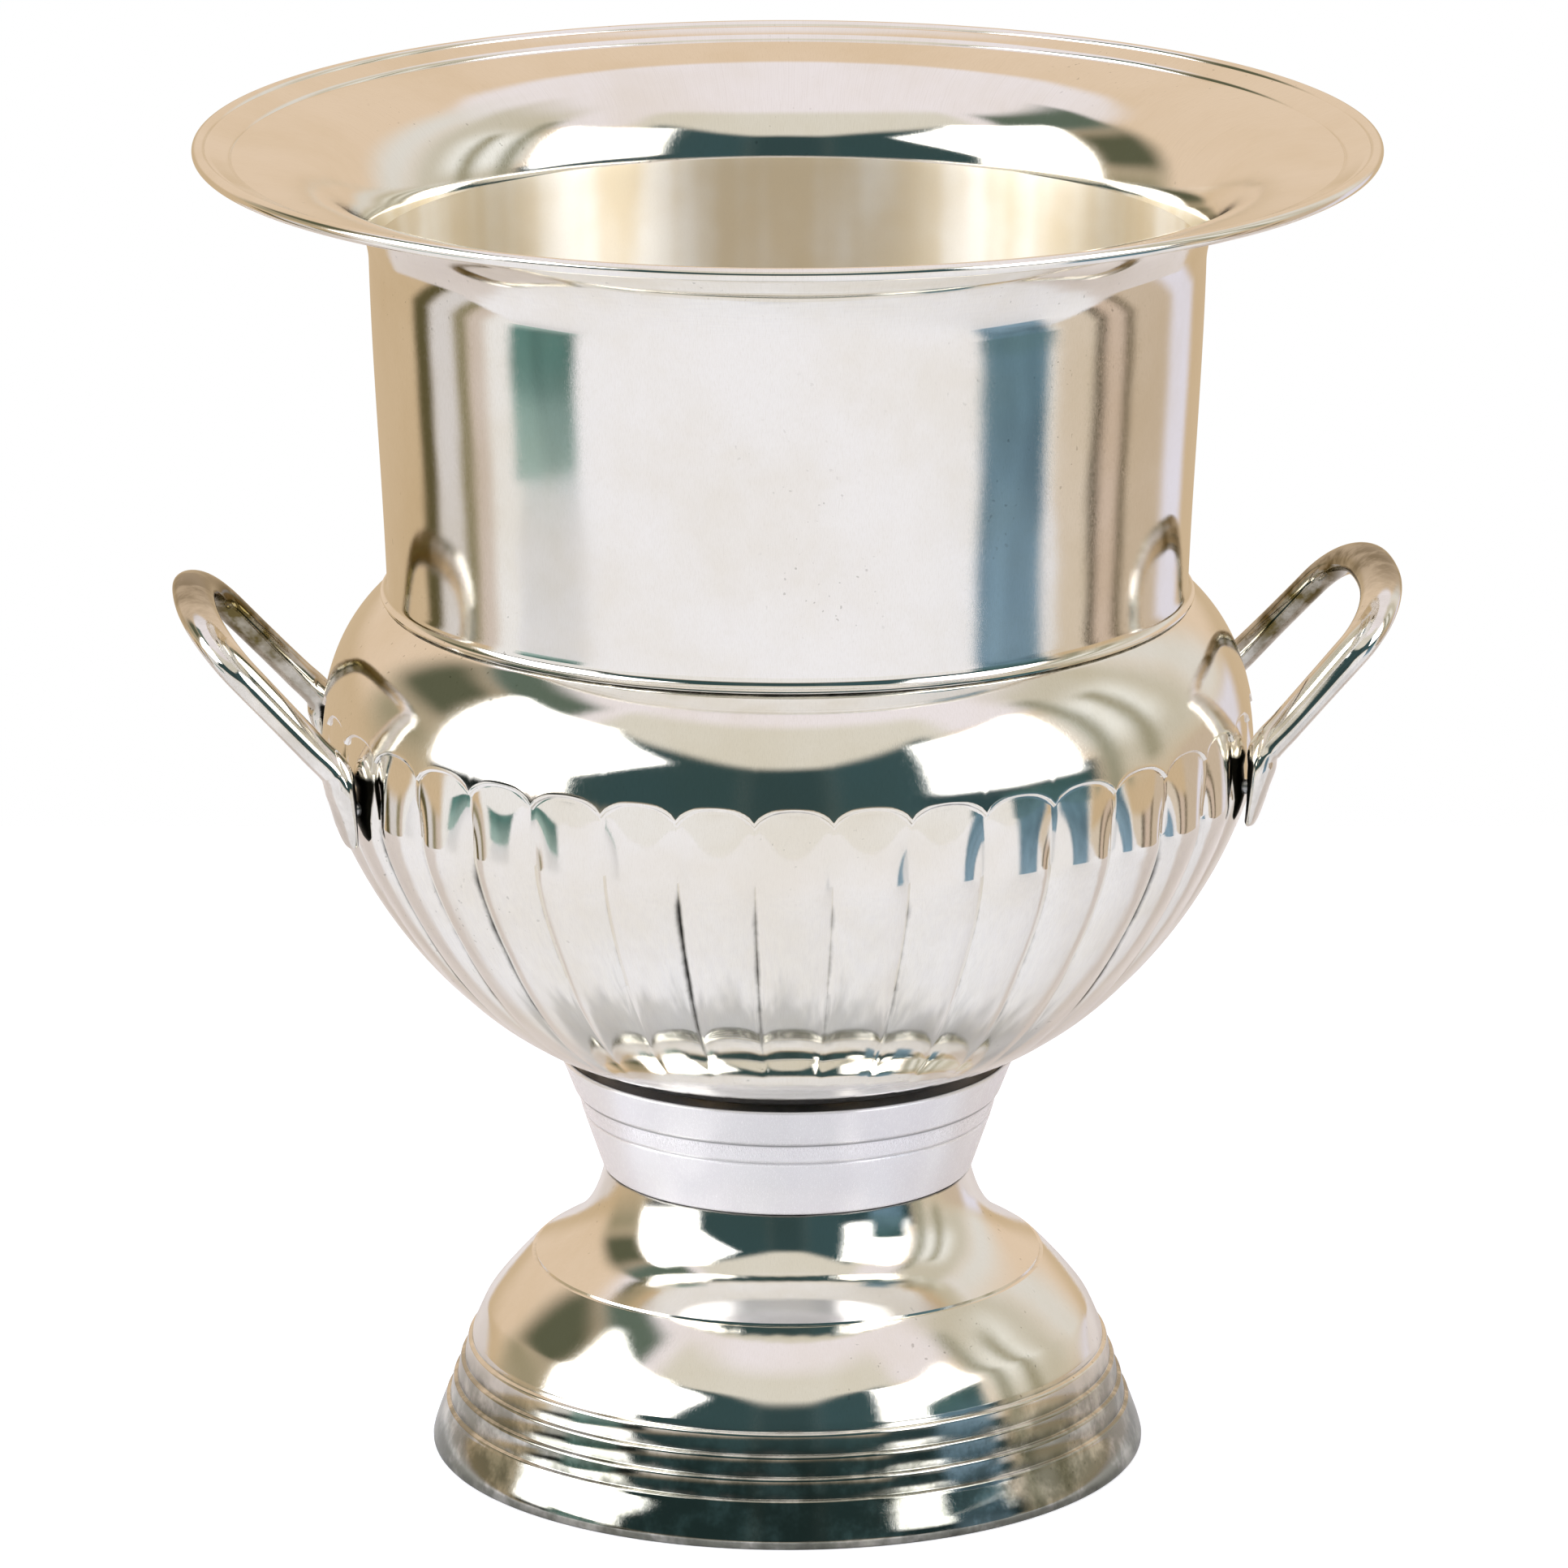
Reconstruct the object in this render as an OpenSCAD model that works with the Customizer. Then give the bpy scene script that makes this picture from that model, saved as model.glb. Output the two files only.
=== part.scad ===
// Silver-plated champagne bucket in the shape of an urn.
// A spun neck with a wide curled brim stands on a pressed, fluted bowl. Two cast
// loop handles are screwed to the belly. A collar and a domed foot are clamped
// under the bowl by one stud and nut.
// Millimetres, +Z up, origin at the middle of the foot's standing face,
// handles at -X and +X.

/* [Rim and neck] */
// Radius to the middle of the curled rim
rim_r = 114.7; // [108:0.1:122]
// Height of the middle of the curled rim
rim_z = 264.8; // [262:0.1:268]
// Radius of the wire inside the curled rim
rim_wire_r = 0.55; // [0.4:0.05:0.8]
// Thickness of the neck's sheet
neck_wall = 0.8; // [0.7:0.05:1]
// Outer radius at the bottom of the neck
neck_r = 78.8; // [78.6:0.1:79]
// Outer radius where the neck starts to flare
throat_r = 81.8; // [80:0.1:83]
// Height where the neck starts to flare
throat_z = 242.5; // [240:0.5:245]

/* [Bowl] */
// Height of the joint between neck and bowl
joint_z = 175; // [174:0.1:176]
// Greatest radius of the bowl
belly_r = 92.3; // [91.5:0.1:93]
// Height of the greatest radius
belly_z = 140; // [139:0.5:142]
// Thickness of the bowl's sheet
bowl_wall = 1.2; // [1:0.05:1.4]
// Height of the underside of the bowl
floor_z = 80; // [79.5:0.1:80.5]
// Number of flutes round the bowl
flutes = 38; // [34, 38, 42]
// Depth of the crease between two flutes
flute_depth = 1.6; // [0.6:0.1:2]

/* [Handles] */
// Angle of the loop above the horizontal
loop_tilt = 47; // [42:1:52]
// Length of the loop from its feet to its middle line's far end
loop_length = 38; // [34:0.5:42]
// Half the distance between the legs at the far end
loop_half_w = 27.5; // [24:0.5:29]
// Width of the rod's oval section
rod_w = 8.6; // [6:0.1:9]
// Thickness of the rod's oval section
rod_t = 5.9; // [5:0.1:6.5]
// Radius of the screws that hold the handles
screw_r = 1.5; // [1.5:0.1:1.6]

/* [Collar and foot] */
// Outer radius at the top of the collar
collar_top_r = 45.3; // [44:0.1:46]
// Height of the top edge of the collar
collar_top_z = 81.4; // [81:0.1:81.6]
// Outer radius at the bottom of the collar
collar_low_r = 36.8; // [36.5:0.1:38]
// Height of the top face of the foot
foot_top_z = 57.6; // [57:0.1:58]
// Radius of the standing face's outer edge
foot_r = 71.1; // [70.5:0.1:73]
// Thickness of the foot's sheet
foot_wall = 1; // [0.8:0.05:1.1]
// Radius of the clamping stud
stud_r = 3; // [3:0.1:3.2]

/* [Hidden] */

silver = [0.86, 0.85, 0.82];
satin = [0.80, 0.79, 0.78];
brass = [0.74, 0.60, 0.34];
steel = [0.55, 0.56, 0.58];
round_fn = 96;
wire_gap = 0.05;

// ---- Curves ----

// Point at t on a cubic curve with four control points
function bezier_at(p, t) = pow(1 - t, 3) * p[0] + 3 * pow(1 - t, 2) * t * p[1]
                         + 3 * (1 - t) * t * t * p[2] + pow(t, 3) * p[3];
// Points along a cubic curve, without its first point
function bezier(p, n) = [for (i = [1 : n]) bezier_at(p, i / n)];
function unit(v) = v / norm(v);
// Direction of a path at point i
function heading(path, i) =
    unit(path[min(i + 1, len(path) - 1)] - path[max(i - 1, 0)]);
// The path moved sideways by d, to the left of its direction
function beside(path, d) = [for (i = [0 : len(path) - 1])
    let (h = heading(path, i)) path[i] + d * [-h[1], h[0]]];
function reversed(list) = [for (i = [len(list) - 1 : -1 : 0]) list[i]];
// Closed outline of a sheet of thickness t whose one face is the path
function sheet(path, t) = concat(path, reversed(beside(path, t)));

module spun(outline) {
    rotate_extrude($fn = round_fn) polygon(outline);
}

module ring(outer_r, inner_r, low_z, height) {
    translate([0, 0, low_z]) difference() {
        cylinder(h = height, r = outer_r, $fn = round_fn);
        translate([0, 0, -1]) cylinder(h = height + 2, r = inner_r, $fn = round_fn);
    }
}

module wire_ring(middle_r, middle_z, r) {
    rotate_extrude($fn = round_fn) translate([middle_r, middle_z]) circle(r = r, $fn = 24);
}

// ---- Neck and rim ----

// Outer face of the neck, from the lip on the bowl up to the curled rim
brim_z = rim_z - 2;
brim_r = rim_r - 6;
lip_r = neck_r + 1.4;
bead_r = rim_wire_r + wire_gap + neck_wall;
neck_path = concat(
    [[lip_r, joint_z + 0.6]],
    bezier([[lip_r, joint_z + 0.6], [neck_r + 0.4, joint_z + 0.7],
            [neck_r, joint_z + 1.4], [neck_r + 0.1, joint_z + 4]], 5),
    bezier([[neck_r + 0.1, joint_z + 4], [neck_r + 0.9, joint_z + 26],
            [throat_r - 0.5, throat_z - 22], [throat_r, throat_z]], 5),
    bezier([[throat_r, throat_z], [throat_r + 0.1, throat_z + 7],
            [throat_r + 4.8, throat_z + 14.9], [throat_r + 14.5, throat_z + 18]], 9),
    bezier([[throat_r + 14.5, throat_z + 18], [throat_r + 18.5, throat_z + 19.2],
            [brim_r - 4, brim_z - 0.8], [brim_r, brim_z - 0.2]], 3),
    [[brim_r + 0.5, brim_z + 0.5], [brim_r + 3, brim_z + 0.9]]);

module neck_shell() {
    color(silver) difference() {
        union() {
            spun(sheet(concat(neck_path, [[rim_r, rim_z - bead_r + 0.05]]), neck_wall));
            wire_ring(rim_r, rim_z, bead_r);
        }
        wire_ring(rim_r, rim_z, rim_wire_r + wire_gap);
    }
}

module rim_wire() {
    color(brass) wire_ring(rim_r, rim_z, rim_wire_r);
}

// ---- Bowl ----

// One face of the bowl without flutes, from the floor up to the spigot in the neck, in
// the given numbers of steps along the belly and the shoulder
spigot_r = neck_r - neck_wall - 0.15;
floor_r = 32;
seat_r = 45;
seat_z = floor_z + 3.2;
bowl_curve = [[seat_r, seat_z], [76.2, 96], [belly_r, belly_z - 6.7], [belly_r, belly_z]];
shoulder_curve = [[belly_r, belly_z], [belly_r, belly_z + 13], [90, joint_z - 10],
                  [neck_r + 1.3, joint_z - 0.8]];
function bowl_path(belly_steps, shoulder_steps) = concat(
    [[floor_r, floor_z], [40, floor_z + 1.3], [seat_r, seat_z]],
    bezier(bowl_curve, belly_steps),
    bezier(shoulder_curve, shoulder_steps),
    [[spigot_r + 0.6, joint_z - 0.5], [spigot_r, joint_z + 0.6], [spigot_r, joint_z + 6]]);
bowl_rows = concat(bowl_path(6, 4), reversed(beside(bowl_path(4, 3), bowl_wall)));

// How deep a crease is at height z: nothing on the shoulder and on the floor
flute_top_z = 153;
flute_full_z = 142;
function crease_depth(z) =
    flute_depth * min(1, max(0, (flute_top_z - z) / (flute_top_z - flute_full_z)))
                * min(1, max(0.1, (z - floor_z) / 16));
// Share of the depth at each step across one flute, from one crease to the next
flute_steps = [1, 0.28, 0, 0.28];
columns = flutes * len(flute_steps);

function bowl_point(row, j) =
    let (share = flute_steps[j % len(flute_steps)],
         r = row[0] - share * crease_depth(row[1]),
         a = 90 + 360 * j / columns)
    [r * cos(a), r * sin(a), row[1]];

module fluted_shell() {
    last = len(bowl_rows) - 1;
    points = [for (row = bowl_rows) for (j = [0 : columns - 1]) bowl_point(row, j)];
    sides = [for (i = [0 : last - 1]) for (j = [0 : columns - 1])
        let (k = (j + 1) % columns)
        [i * columns + j, (i + 1) * columns + j, (i + 1) * columns + k, i * columns + k]];
    underside = [for (j = [0 : columns - 1]) j];
    inside_floor = [for (j = [columns - 1 : -1 : 0]) last * columns + j];
    polyhedron(points = points, faces = concat(sides, [underside], [inside_floor]),
               convexity = 6);
}

module bowl_shell() {
    color(silver) difference() {
        fluted_shell();
        at_each_foot() cylinder(h = 12, r = screw_r + 0.2, center = true, $fn = 32);
    }
}

// ---- Handles ----

// Each foot lies on the middle of a flute, two flutes from the handle's middle
foot_angle = 2 * 360 / flutes;
screw_z = 141;
foot_stand = 0.15;

// Puts a +Z shape at each of the four handle feet, pointing out of the bowl
module at_each_foot() {
    for (side = [0, 180]) for (turn = [-foot_angle, foot_angle])
        rotate([0, 0, side + turn]) translate([belly_r, 0, screw_z]) rotate([0, 90, 0])
            children();
}

// The loop's plane starts on a line beside the belly and rises along loop_tilt
loop_start = [91, 0, 148.5];
loop_out = [cos(loop_tilt), 0, sin(loop_tilt)];
loop_up = [-sin(loop_tilt), 0, cos(loop_tilt)];
leg_half_w = 30;
rounded_length = 15;
leg_length = loop_length - rounded_length;
corner_power = 2.4;
rod_roll = 25;
function in_loop(a, b) = loop_start + a * loop_out + [0, b, 0];

// Middle line of half the loop: straight leg, then a rounded quarter
quarter_steps = 7;
function leg_points() = [for (a = [0, 6, 12, 18])
    in_loop(a, -leg_half_w + (leg_half_w - loop_half_w) * a / leg_length)];
function quarter_points() = [for (i = [0 : quarter_steps])
    let (t = 90 * i / quarter_steps, power = 2 / corner_power)
    in_loop(leg_length + rounded_length * pow(sin(t), power),
            -loop_half_w * pow(cos(t), power))];

// A foot lies along the bowl. Each row is its height, the distance of its back from the
// bowl's axis, its width and its thickness
foot_rows = [[131.5, 90.6, 3.4, 1.6], [133.5, 91.4, 6.4, 2.4], [137, 92.2, 8.8, 3.2],
             [141, 92.5, 9.5, 4.2], [145, 92.7, 9.5, 5.4]];
function foot_points() = [for (row = foot_rows)
    let (r = row[1] + foot_stand + row[3] / 2)
    [r * cos(foot_angle), -r * sin(foot_angle), row[0]]];

half_line = concat(foot_points(), leg_points(), quarter_points());
half_count = len(half_line);
function mirrored(p) = [p[0], -p[1], p[2]];
loop_line = concat(half_line, [for (i = [half_count - 2 : -1 : 0]) mirrored(half_line[i])]);
loop_count = len(loop_line);

// Width and thickness of the rod at point i of the whole line. The rod gets slimmer
// along the legs and widens again towards the middle of the loop
leg_sizes = [[9.3, 6.1], [8.9, 5.9], [8.4, 5.7], [8.1, 5.6]];
leg_rolls = [3, 9, 16, 22];
slim = [8.1, 5.6];
function from_end(i) = min(i, loop_count - 1 - i);
function quarter_size(step) = slim + ([rod_w, rod_t] - slim) * sin(90 * step / quarter_steps);
function section_size(i) = let (k = from_end(i), leg = k - len(foot_rows))
    k < len(foot_rows) ? [foot_rows[k][2], foot_rows[k][3]] :
    leg < len(leg_sizes) ? leg_sizes[leg] : quarter_size(leg - len(leg_sizes));
// Direction of the section's width at point i: round the bowl on a foot, rolled on the rod
function side_of(i) = i < loop_count / 2 ? -1 : 1;
function rod_width_dir(i) =
    let (inward = unit(cross(loop_up, heading(loop_line, i))),
         leg = from_end(i) - len(foot_rows),
         roll = leg < len(leg_rolls) ? leg_rolls[leg] : rod_roll)
    cos(roll) * inward + sin(roll) * loop_up;
function foot_width_dir(i) = [sin(foot_angle), -side_of(i) * cos(foot_angle), 0];
function width_dir(i) = from_end(i) < len(foot_rows) ? foot_width_dir(i) : rod_width_dir(i);

ring_sides = 14;
function ring_at(i) =
    let (t = heading(loop_line, i),
         w0 = width_dir(i),
         w = unit(w0 - (w0 * t) * t),
         v = cross(t, w),
         size = section_size(i))
    [for (j = [0 : ring_sides - 1])
        let (a = 360 * j / ring_sides)
        loop_line[i] + size[0] / 2 * cos(a) * w + size[1] / 2 * sin(a) * v];

module handle() {
    points = [for (i = [0 : loop_count - 1]) each ring_at(i)];
    sides = [for (i = [0 : loop_count - 2]) for (j = [0 : ring_sides - 1])
        let (k = (j + 1) % ring_sides, low = i * ring_sides, high = low + ring_sides)
        [low + j, high + j, high + k, low + k]];
    first_end = [for (j = [0 : ring_sides - 1]) j];
    last_end = [for (j = [ring_sides - 1 : -1 : 0]) (loop_count - 1) * ring_sides + j];
    difference() {
        polyhedron(points = points, faces = concat(sides, [first_end], [last_end]),
                   convexity = 6);
        at_each_foot() cylinder(h = 2 * hole_reach, r = screw_r + 0.05, center = true, $fn = 32);
    }
}

module handle_right() { color(silver) handle(); }
module handle_left() { color(silver) rotate([0, 0, 180]) handle(); }

// Pan-headed screws from inside the bowl into the handles' feet, with flat washers
washer_face = -bowl_wall - 0.55;
washer_t = 0.8;
head_t = 2;
screw_reach = 2;
hole_reach = 2.2;
module handle_screws() {
    color(steel) at_each_foot() {
        translate([0, 0, washer_face - washer_t])
            cylinder(h = screw_reach - washer_face + washer_t, r = screw_r, $fn = 32);
        translate([0, 0, washer_face - washer_t - head_t])
            cylinder(h = head_t, r = 2 * screw_r, $fn = 32);
    }
}

module screw_washers() {
    color(steel) at_each_foot()
        ring(screw_r + 2.3, screw_r + 0.15, washer_face - washer_t, washer_t);
}

// ---- Collar, stud and foot ----

plate_t = 2;
web_top_z = floor_z - plate_t;
stud_hole_r = stud_r + 0.3;
collar_wall = 1.2;
band_z = collar_top_z - 8;
// Radius of the collar's outer cone at height z
function collar_r(z) = collar_low_r
    + (collar_top_r - collar_low_r) * (z - foot_top_z) / (collar_top_z - foot_top_z);

module collar() {
    outer = [[collar_low_r - 0.5, foot_top_z], [collar_low_r - 0.1, foot_top_z + 0.3],
             [collar_low_r + 0.1, foot_top_z + 0.9],
             [collar_r(band_z) - 0.4, band_z], [collar_r(band_z) - 0.3, band_z + 0.4],
             [collar_r(band_z) + 0.1, band_z + 0.6],
             [collar_top_r - 0.2, collar_top_z - 0.9], [collar_top_r, collar_top_z - 0.4],
             [collar_top_r - 0.3, collar_top_z]];
    inner = [[collar_top_r - collar_wall, collar_top_z],
             [collar_r(web_top_z) - collar_wall - 0.4, web_top_z],
             [stud_hole_r, web_top_z], [stud_hole_r, web_top_z - plate_t],
             [collar_r(web_top_z - plate_t) - collar_wall - 0.4, web_top_z - plate_t],
             [collar_low_r - collar_wall - 0.4, foot_top_z]];
    color(satin) spun(concat(outer, inner));
}

module stud_plate() {
    color(brass) ring(26, stud_r + 0.02, web_top_z, plate_t);
}

stud_low_z = 44;
module centre_stud() {
    color(steel) {
        translate([0, 0, stud_low_z + 0.8])
            cylinder(h = floor_z - stud_low_z - 0.8, r = stud_r, $fn = 48);
        translate([0, 0, stud_low_z]) cylinder(h = 0.8, r1 = stud_r - 0.7, r2 = stud_r, $fn = 48);
    }
}

// Outer face of the foot from its top face down to the standing edge
neck_foot_r = 36.4;
step_r = 50.3;
step_z = 39.8;
reed_top_r = 63.6;
reed_top_z = 21.6;
reed_pitch = 4.1;
reed_out = 1.5;
reeds = 4;
// Each reed is a thin bead on a steep cone. The points of its section are the
// distance along the cone and the height above it
cone_dir = unit([reed_out, -reed_pitch]);
cone_normal = [-cone_dir[1], cone_dir[0]];
reed_section = [[-0.6, 0], [-0.3, 0.25], [0, 0.32], [0.3, 0.25], [0.6, 0]];
function reed_middle(k) = [reed_top_r + k * reed_out, reed_top_z - k * reed_pitch];
function reed(k) = [for (p = reed_section) reed_middle(k) + p[0] * cone_dir + p[1] * cone_normal];
dome_path = concat(
    [[neck_foot_r, foot_top_z]],
    bezier([[neck_foot_r, foot_top_z], [38.6, 48.4], [41.2, 44.8], [step_r, step_z]], 12),
    bezier([[step_r + 0.6, step_z - 0.4], [54.6, 36.1], [59.3, 30.5], [60.4, 28.6]], 7),
    bezier([[60.4, 28.6], [61.2, 27.2], [62.3, 24.6],
            [reed_top_r - 0.5, reed_top_z + 1.1]], 4));
band_top = reed_middle(reeds - 1) + cone_dir;
band_path = bezier([band_top, band_top + [0.5, -1.4], [foot_r - 0.4, 3.6], [foot_r, 0.6]], 5);
foot_path = concat(dome_path, [for (k = [0 : reeds - 1]) each reed(k)], band_path);
edge_r = foot_r - 1.5;
edge_z = 1.5;

module foot_shell() {
    inner = beside(reversed(concat(dome_path, band_path)), foot_wall);
    hem = [[foot_r - 0.5, 0], [foot_r - 2.5, 0], [foot_r - 3, 0.6], [foot_r - 3, 2.4],
           [foot_r - 2.4, 3]];
    top = [[inner[len(inner) - 1][0], foot_top_z - foot_wall], [stud_hole_r, foot_top_z - foot_wall],
           [stud_hole_r, foot_top_z]];
    // the inner face between the hem and the top web
    wall = [for (p = inner) if (p[1] > 3.4 && p[1] < foot_top_z - foot_wall - 0.4) p];
    color(silver) difference() {
        spun(concat(foot_path, hem, wall, top));
        wire_ring(edge_r, edge_z, rim_wire_r + wire_gap);
    }
}

module foot_edge_wire() {
    color(brass) wire_ring(edge_r, edge_z, rim_wire_r);
}

clamp_low_z = foot_top_z - foot_wall - plate_t;
washer_h = 1.5;
nut_h = 5;
nut_flats = 10;

module clamp_plate() {
    color(brass) ring(24, stud_hole_r, clamp_low_z, plate_t);
}

module lock_washer() {
    color(steel) difference() {
        ring(stud_r + 2.7, stud_r + 0.2, clamp_low_z - washer_h, washer_h);
        translate([stud_r + 1.5, 0, clamp_low_z - washer_h / 2]) rotate([30, 0, 0])
            cube([5, 0.5, 4], center = true);
    }
}

module hex_nut() {
    color(steel) translate([0, 0, clamp_low_z - washer_h - nut_h]) difference() {
        cylinder(h = nut_h, r = nut_flats / 2 / cos(30), $fn = 6);
        translate([0, 0, -1]) cylinder(h = nut_h + 2, r = stud_r + 0.05, $fn = 48);
    }
}

neck_shell();
rim_wire();
bowl_shell();
handle_left();
handle_right();
handle_screws();
screw_washers();
collar();
stud_plate();
centre_stud();
foot_shell();
foot_edge_wire();
clamp_plate();
lock_washer();
hex_nut();
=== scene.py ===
"""Looks of the silver champagne bucket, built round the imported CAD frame.

Every visible CAD node is replaced by a finer mesh of the same outline. Shapes are given in millimetres,
as in the part's source, and turned into metres when a mesh is made.
"""

import math

import bpy
import numpy as np
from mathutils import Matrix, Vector


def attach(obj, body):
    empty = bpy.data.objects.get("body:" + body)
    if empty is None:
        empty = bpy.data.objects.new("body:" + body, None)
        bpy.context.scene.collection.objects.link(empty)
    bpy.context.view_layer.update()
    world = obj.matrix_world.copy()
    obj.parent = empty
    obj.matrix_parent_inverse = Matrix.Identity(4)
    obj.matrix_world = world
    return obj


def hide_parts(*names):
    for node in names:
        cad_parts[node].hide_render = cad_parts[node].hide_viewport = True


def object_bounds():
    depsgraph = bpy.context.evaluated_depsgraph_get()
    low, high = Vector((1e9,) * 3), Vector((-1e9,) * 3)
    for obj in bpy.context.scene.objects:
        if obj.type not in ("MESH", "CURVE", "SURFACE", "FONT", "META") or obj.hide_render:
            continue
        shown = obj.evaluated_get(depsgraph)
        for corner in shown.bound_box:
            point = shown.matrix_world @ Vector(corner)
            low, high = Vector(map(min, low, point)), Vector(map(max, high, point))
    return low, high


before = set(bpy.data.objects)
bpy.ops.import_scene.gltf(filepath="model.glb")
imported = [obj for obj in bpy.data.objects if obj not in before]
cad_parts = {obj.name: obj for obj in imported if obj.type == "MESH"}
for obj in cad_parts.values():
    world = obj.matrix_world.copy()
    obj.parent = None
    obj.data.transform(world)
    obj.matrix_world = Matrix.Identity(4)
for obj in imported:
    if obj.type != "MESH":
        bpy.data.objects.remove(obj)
cad_low, cad_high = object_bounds()

MM = 0.001
FLUTES = 38
TAU = 2 * math.pi


# ---------------------------------------------------------------- outlines

def bezier(a, b, c, d, count):
    """Points along a cubic curve, without its first point."""
    a, b, c, d = (np.array(p, float) for p in (a, b, c, d))
    return [tuple((1 - t) ** 3 * a + 3 * (1 - t) ** 2 * t * b + 3 * (1 - t) * t * t * c + t ** 3 * d)
            for t in np.linspace(0, 1, count + 1)[1:]]


def arc(centre, radius, start, end, count):
    """Points on a circle from one angle to another, in degrees."""
    return [(centre[0] + radius * math.cos(math.radians(a)), centre[1] + radius * math.sin(math.radians(a)))
            for a in np.linspace(start, end, count)]


def beside(path, distance):
    """The path moved to the left of its direction."""
    points = np.array(path, float)
    along = np.gradient(points, axis=0)
    along /= np.linalg.norm(along, axis=1)[:, None]
    return [tuple(p) for p in points + distance * np.stack([-along[:, 1], along[:, 0]], 1)]


def rounded(corners, radius, count=5):
    """A closed outline with each corner replaced by a small curve."""
    result = []
    total = len(corners)
    for i in range(total):
        before, corner, after = (np.array(corners[k % total], float) for k in (i - 1, i, i + 1))
        to_before, to_after = before - corner, after - corner
        reach_before, reach_after = np.linalg.norm(to_before), np.linalg.norm(to_after)
        cut = min(radius, 0.45 * reach_before, 0.45 * reach_after)
        first = corner + to_before / reach_before * cut
        last = corner + to_after / reach_after * cut
        result += [tuple((1 - t) ** 2 * first + 2 * t * (1 - t) * corner + t * t * last)
                   for t in np.linspace(0, 1, count)]
    return result


# ---------------------------------------------------------------- meshes

def finish_piece(name, mesh, materials, nodes, sharp=35):
    """Shades a mesh, gives it its materials, and hands it to the frame."""
    mesh.shade_smooth()
    mesh.set_sharp_from_angle(angle=math.radians(sharp))
    for material in materials:
        mesh.materials.append(material)
    piece = bpy.data.objects.new(name, mesh)
    bpy.context.scene.collection.objects.link(piece)
    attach(piece, "root")
    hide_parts(*nodes)
    return piece


def grid_faces(rows, columns, close_rows, close_columns, first=0):
    """Quads between the points of a grid, which may close on itself both ways."""
    i = np.arange(rows if close_rows else rows - 1)[:, None]
    j = np.arange(columns if close_columns else columns - 1)[None, :]
    next_i, next_j = (i + 1) % rows, (j + 1) % columns
    quads = np.stack([i * columns + j, i * columns + next_j, next_i * columns + next_j, next_i * columns + j], -1)
    return (quads.reshape(-1, 4) + first).tolist()


def spun_points(outline, columns):
    """The outline turned round Z, as a grid of points in millimetres."""
    outline = np.array(outline, float)
    angles = np.linspace(0, TAU, columns, endpoint=False)
    radius, height = outline[:, 0][:, None], outline[:, 1][:, None]
    return np.stack([radius * np.cos(angles), radius * np.sin(angles), height + 0 * angles], -1)


def mesh_from(name, points, faces):
    """A mesh from points in millimetres."""
    mesh = bpy.data.meshes.new(name)
    mesh.from_pydata((np.asarray(points).reshape(-1, 3) * MM).tolist(), [], faces)
    mesh.validate()
    return mesh


def set_marks(mesh, name, values):
    """A number at each point that a material reads."""
    marks = mesh.attributes.new(name, "FLOAT", "POINT")
    marks.data.foreach_set("value", np.asarray(values, np.float32).ravel())


def set_shade_and_oxide(mesh, values):
    """How dark each point is painted, from 0 to 1: painted shade in crevices, creases, seams, grooves and under
    the handle feet, with the oxide that sits in the narrowest of them.
    """
    set_marks(mesh, "shade_and_oxide", values)


def spun_mesh(name, outline, columns):
    """A ring-shaped solid with a closed outline."""
    points = spun_points(outline, columns)
    return mesh_from(name, points, grid_faces(len(outline), columns, True, True))


def eased(values):
    """From 0 to 1 with a soft start and end."""
    values = np.clip(values, 0, 1)
    return values * values * (3 - 2 * values)


def bump_at(values, middle, half_width):
    """A smooth hump of height 1 round a value."""
    return np.exp(-((np.asarray(values) - middle) / half_width) ** 2)


# ---------------------------------------------------------------- node helpers

def linear(red, green, blue):
    """A display colour from 0 to 255, as linear light."""
    values = [v / 255 for v in (red, green, blue)]
    return tuple(v / 12.92 if v <= 0.04045 else ((v + 0.055) / 1.055) ** 2.4 for v in values) + (1.0,)


class Graph:
    """Short calls that add nodes to one node tree."""

    def __init__(self, tree):
        self.tree = tree
        tree.nodes.clear()

    def add(self, kind, inputs=(), **settings):
        node = self.tree.nodes.new(kind)
        for key, value in settings.items():
            setattr(node, key, value)
        for key, value in dict(inputs).items():
            self.put(node.inputs[key], value)
        return node

    def put(self, socket, value):
        if isinstance(value, bpy.types.NodeSocket):
            self.tree.links.new(value, socket)
        else:
            socket.default_value = value

    def math(self, operation, a, b=0.0):
        return self.add("ShaderNodeMath", {0: a, 1: b}, operation=operation).outputs[0]

    def times(self, a, b):
        return self.math("MULTIPLY", a, b)

    def plus(self, a, b):
        return self.math("ADD", a, b)

    def step(self, value, low, high, start=0.0, end=1.0):
        """Rises smoothly from start to end as the value goes from low to high."""
        inputs = {"Value": value, "From Min": low, "From Max": high, "To Min": start, "To Max": end}
        return self.add("ShaderNodeMapRange", inputs, interpolation_type="SMOOTHSTEP").outputs[0]

    def mix(self, share, a, b):
        node = self.add("ShaderNodeMix", data_type="RGBA")
        for key, value in ((0, share), (6, a), (7, b)):
            self.put(node.inputs[key], value)
        return node.outputs[2]

    def noise(self, vector, scale, detail=2.0, roughness=0.5):
        inputs = {"Vector": vector, "Scale": scale, "Detail": detail, "Roughness": roughness}
        return self.add("ShaderNodeTexNoise", inputs).outputs[0]


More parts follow.
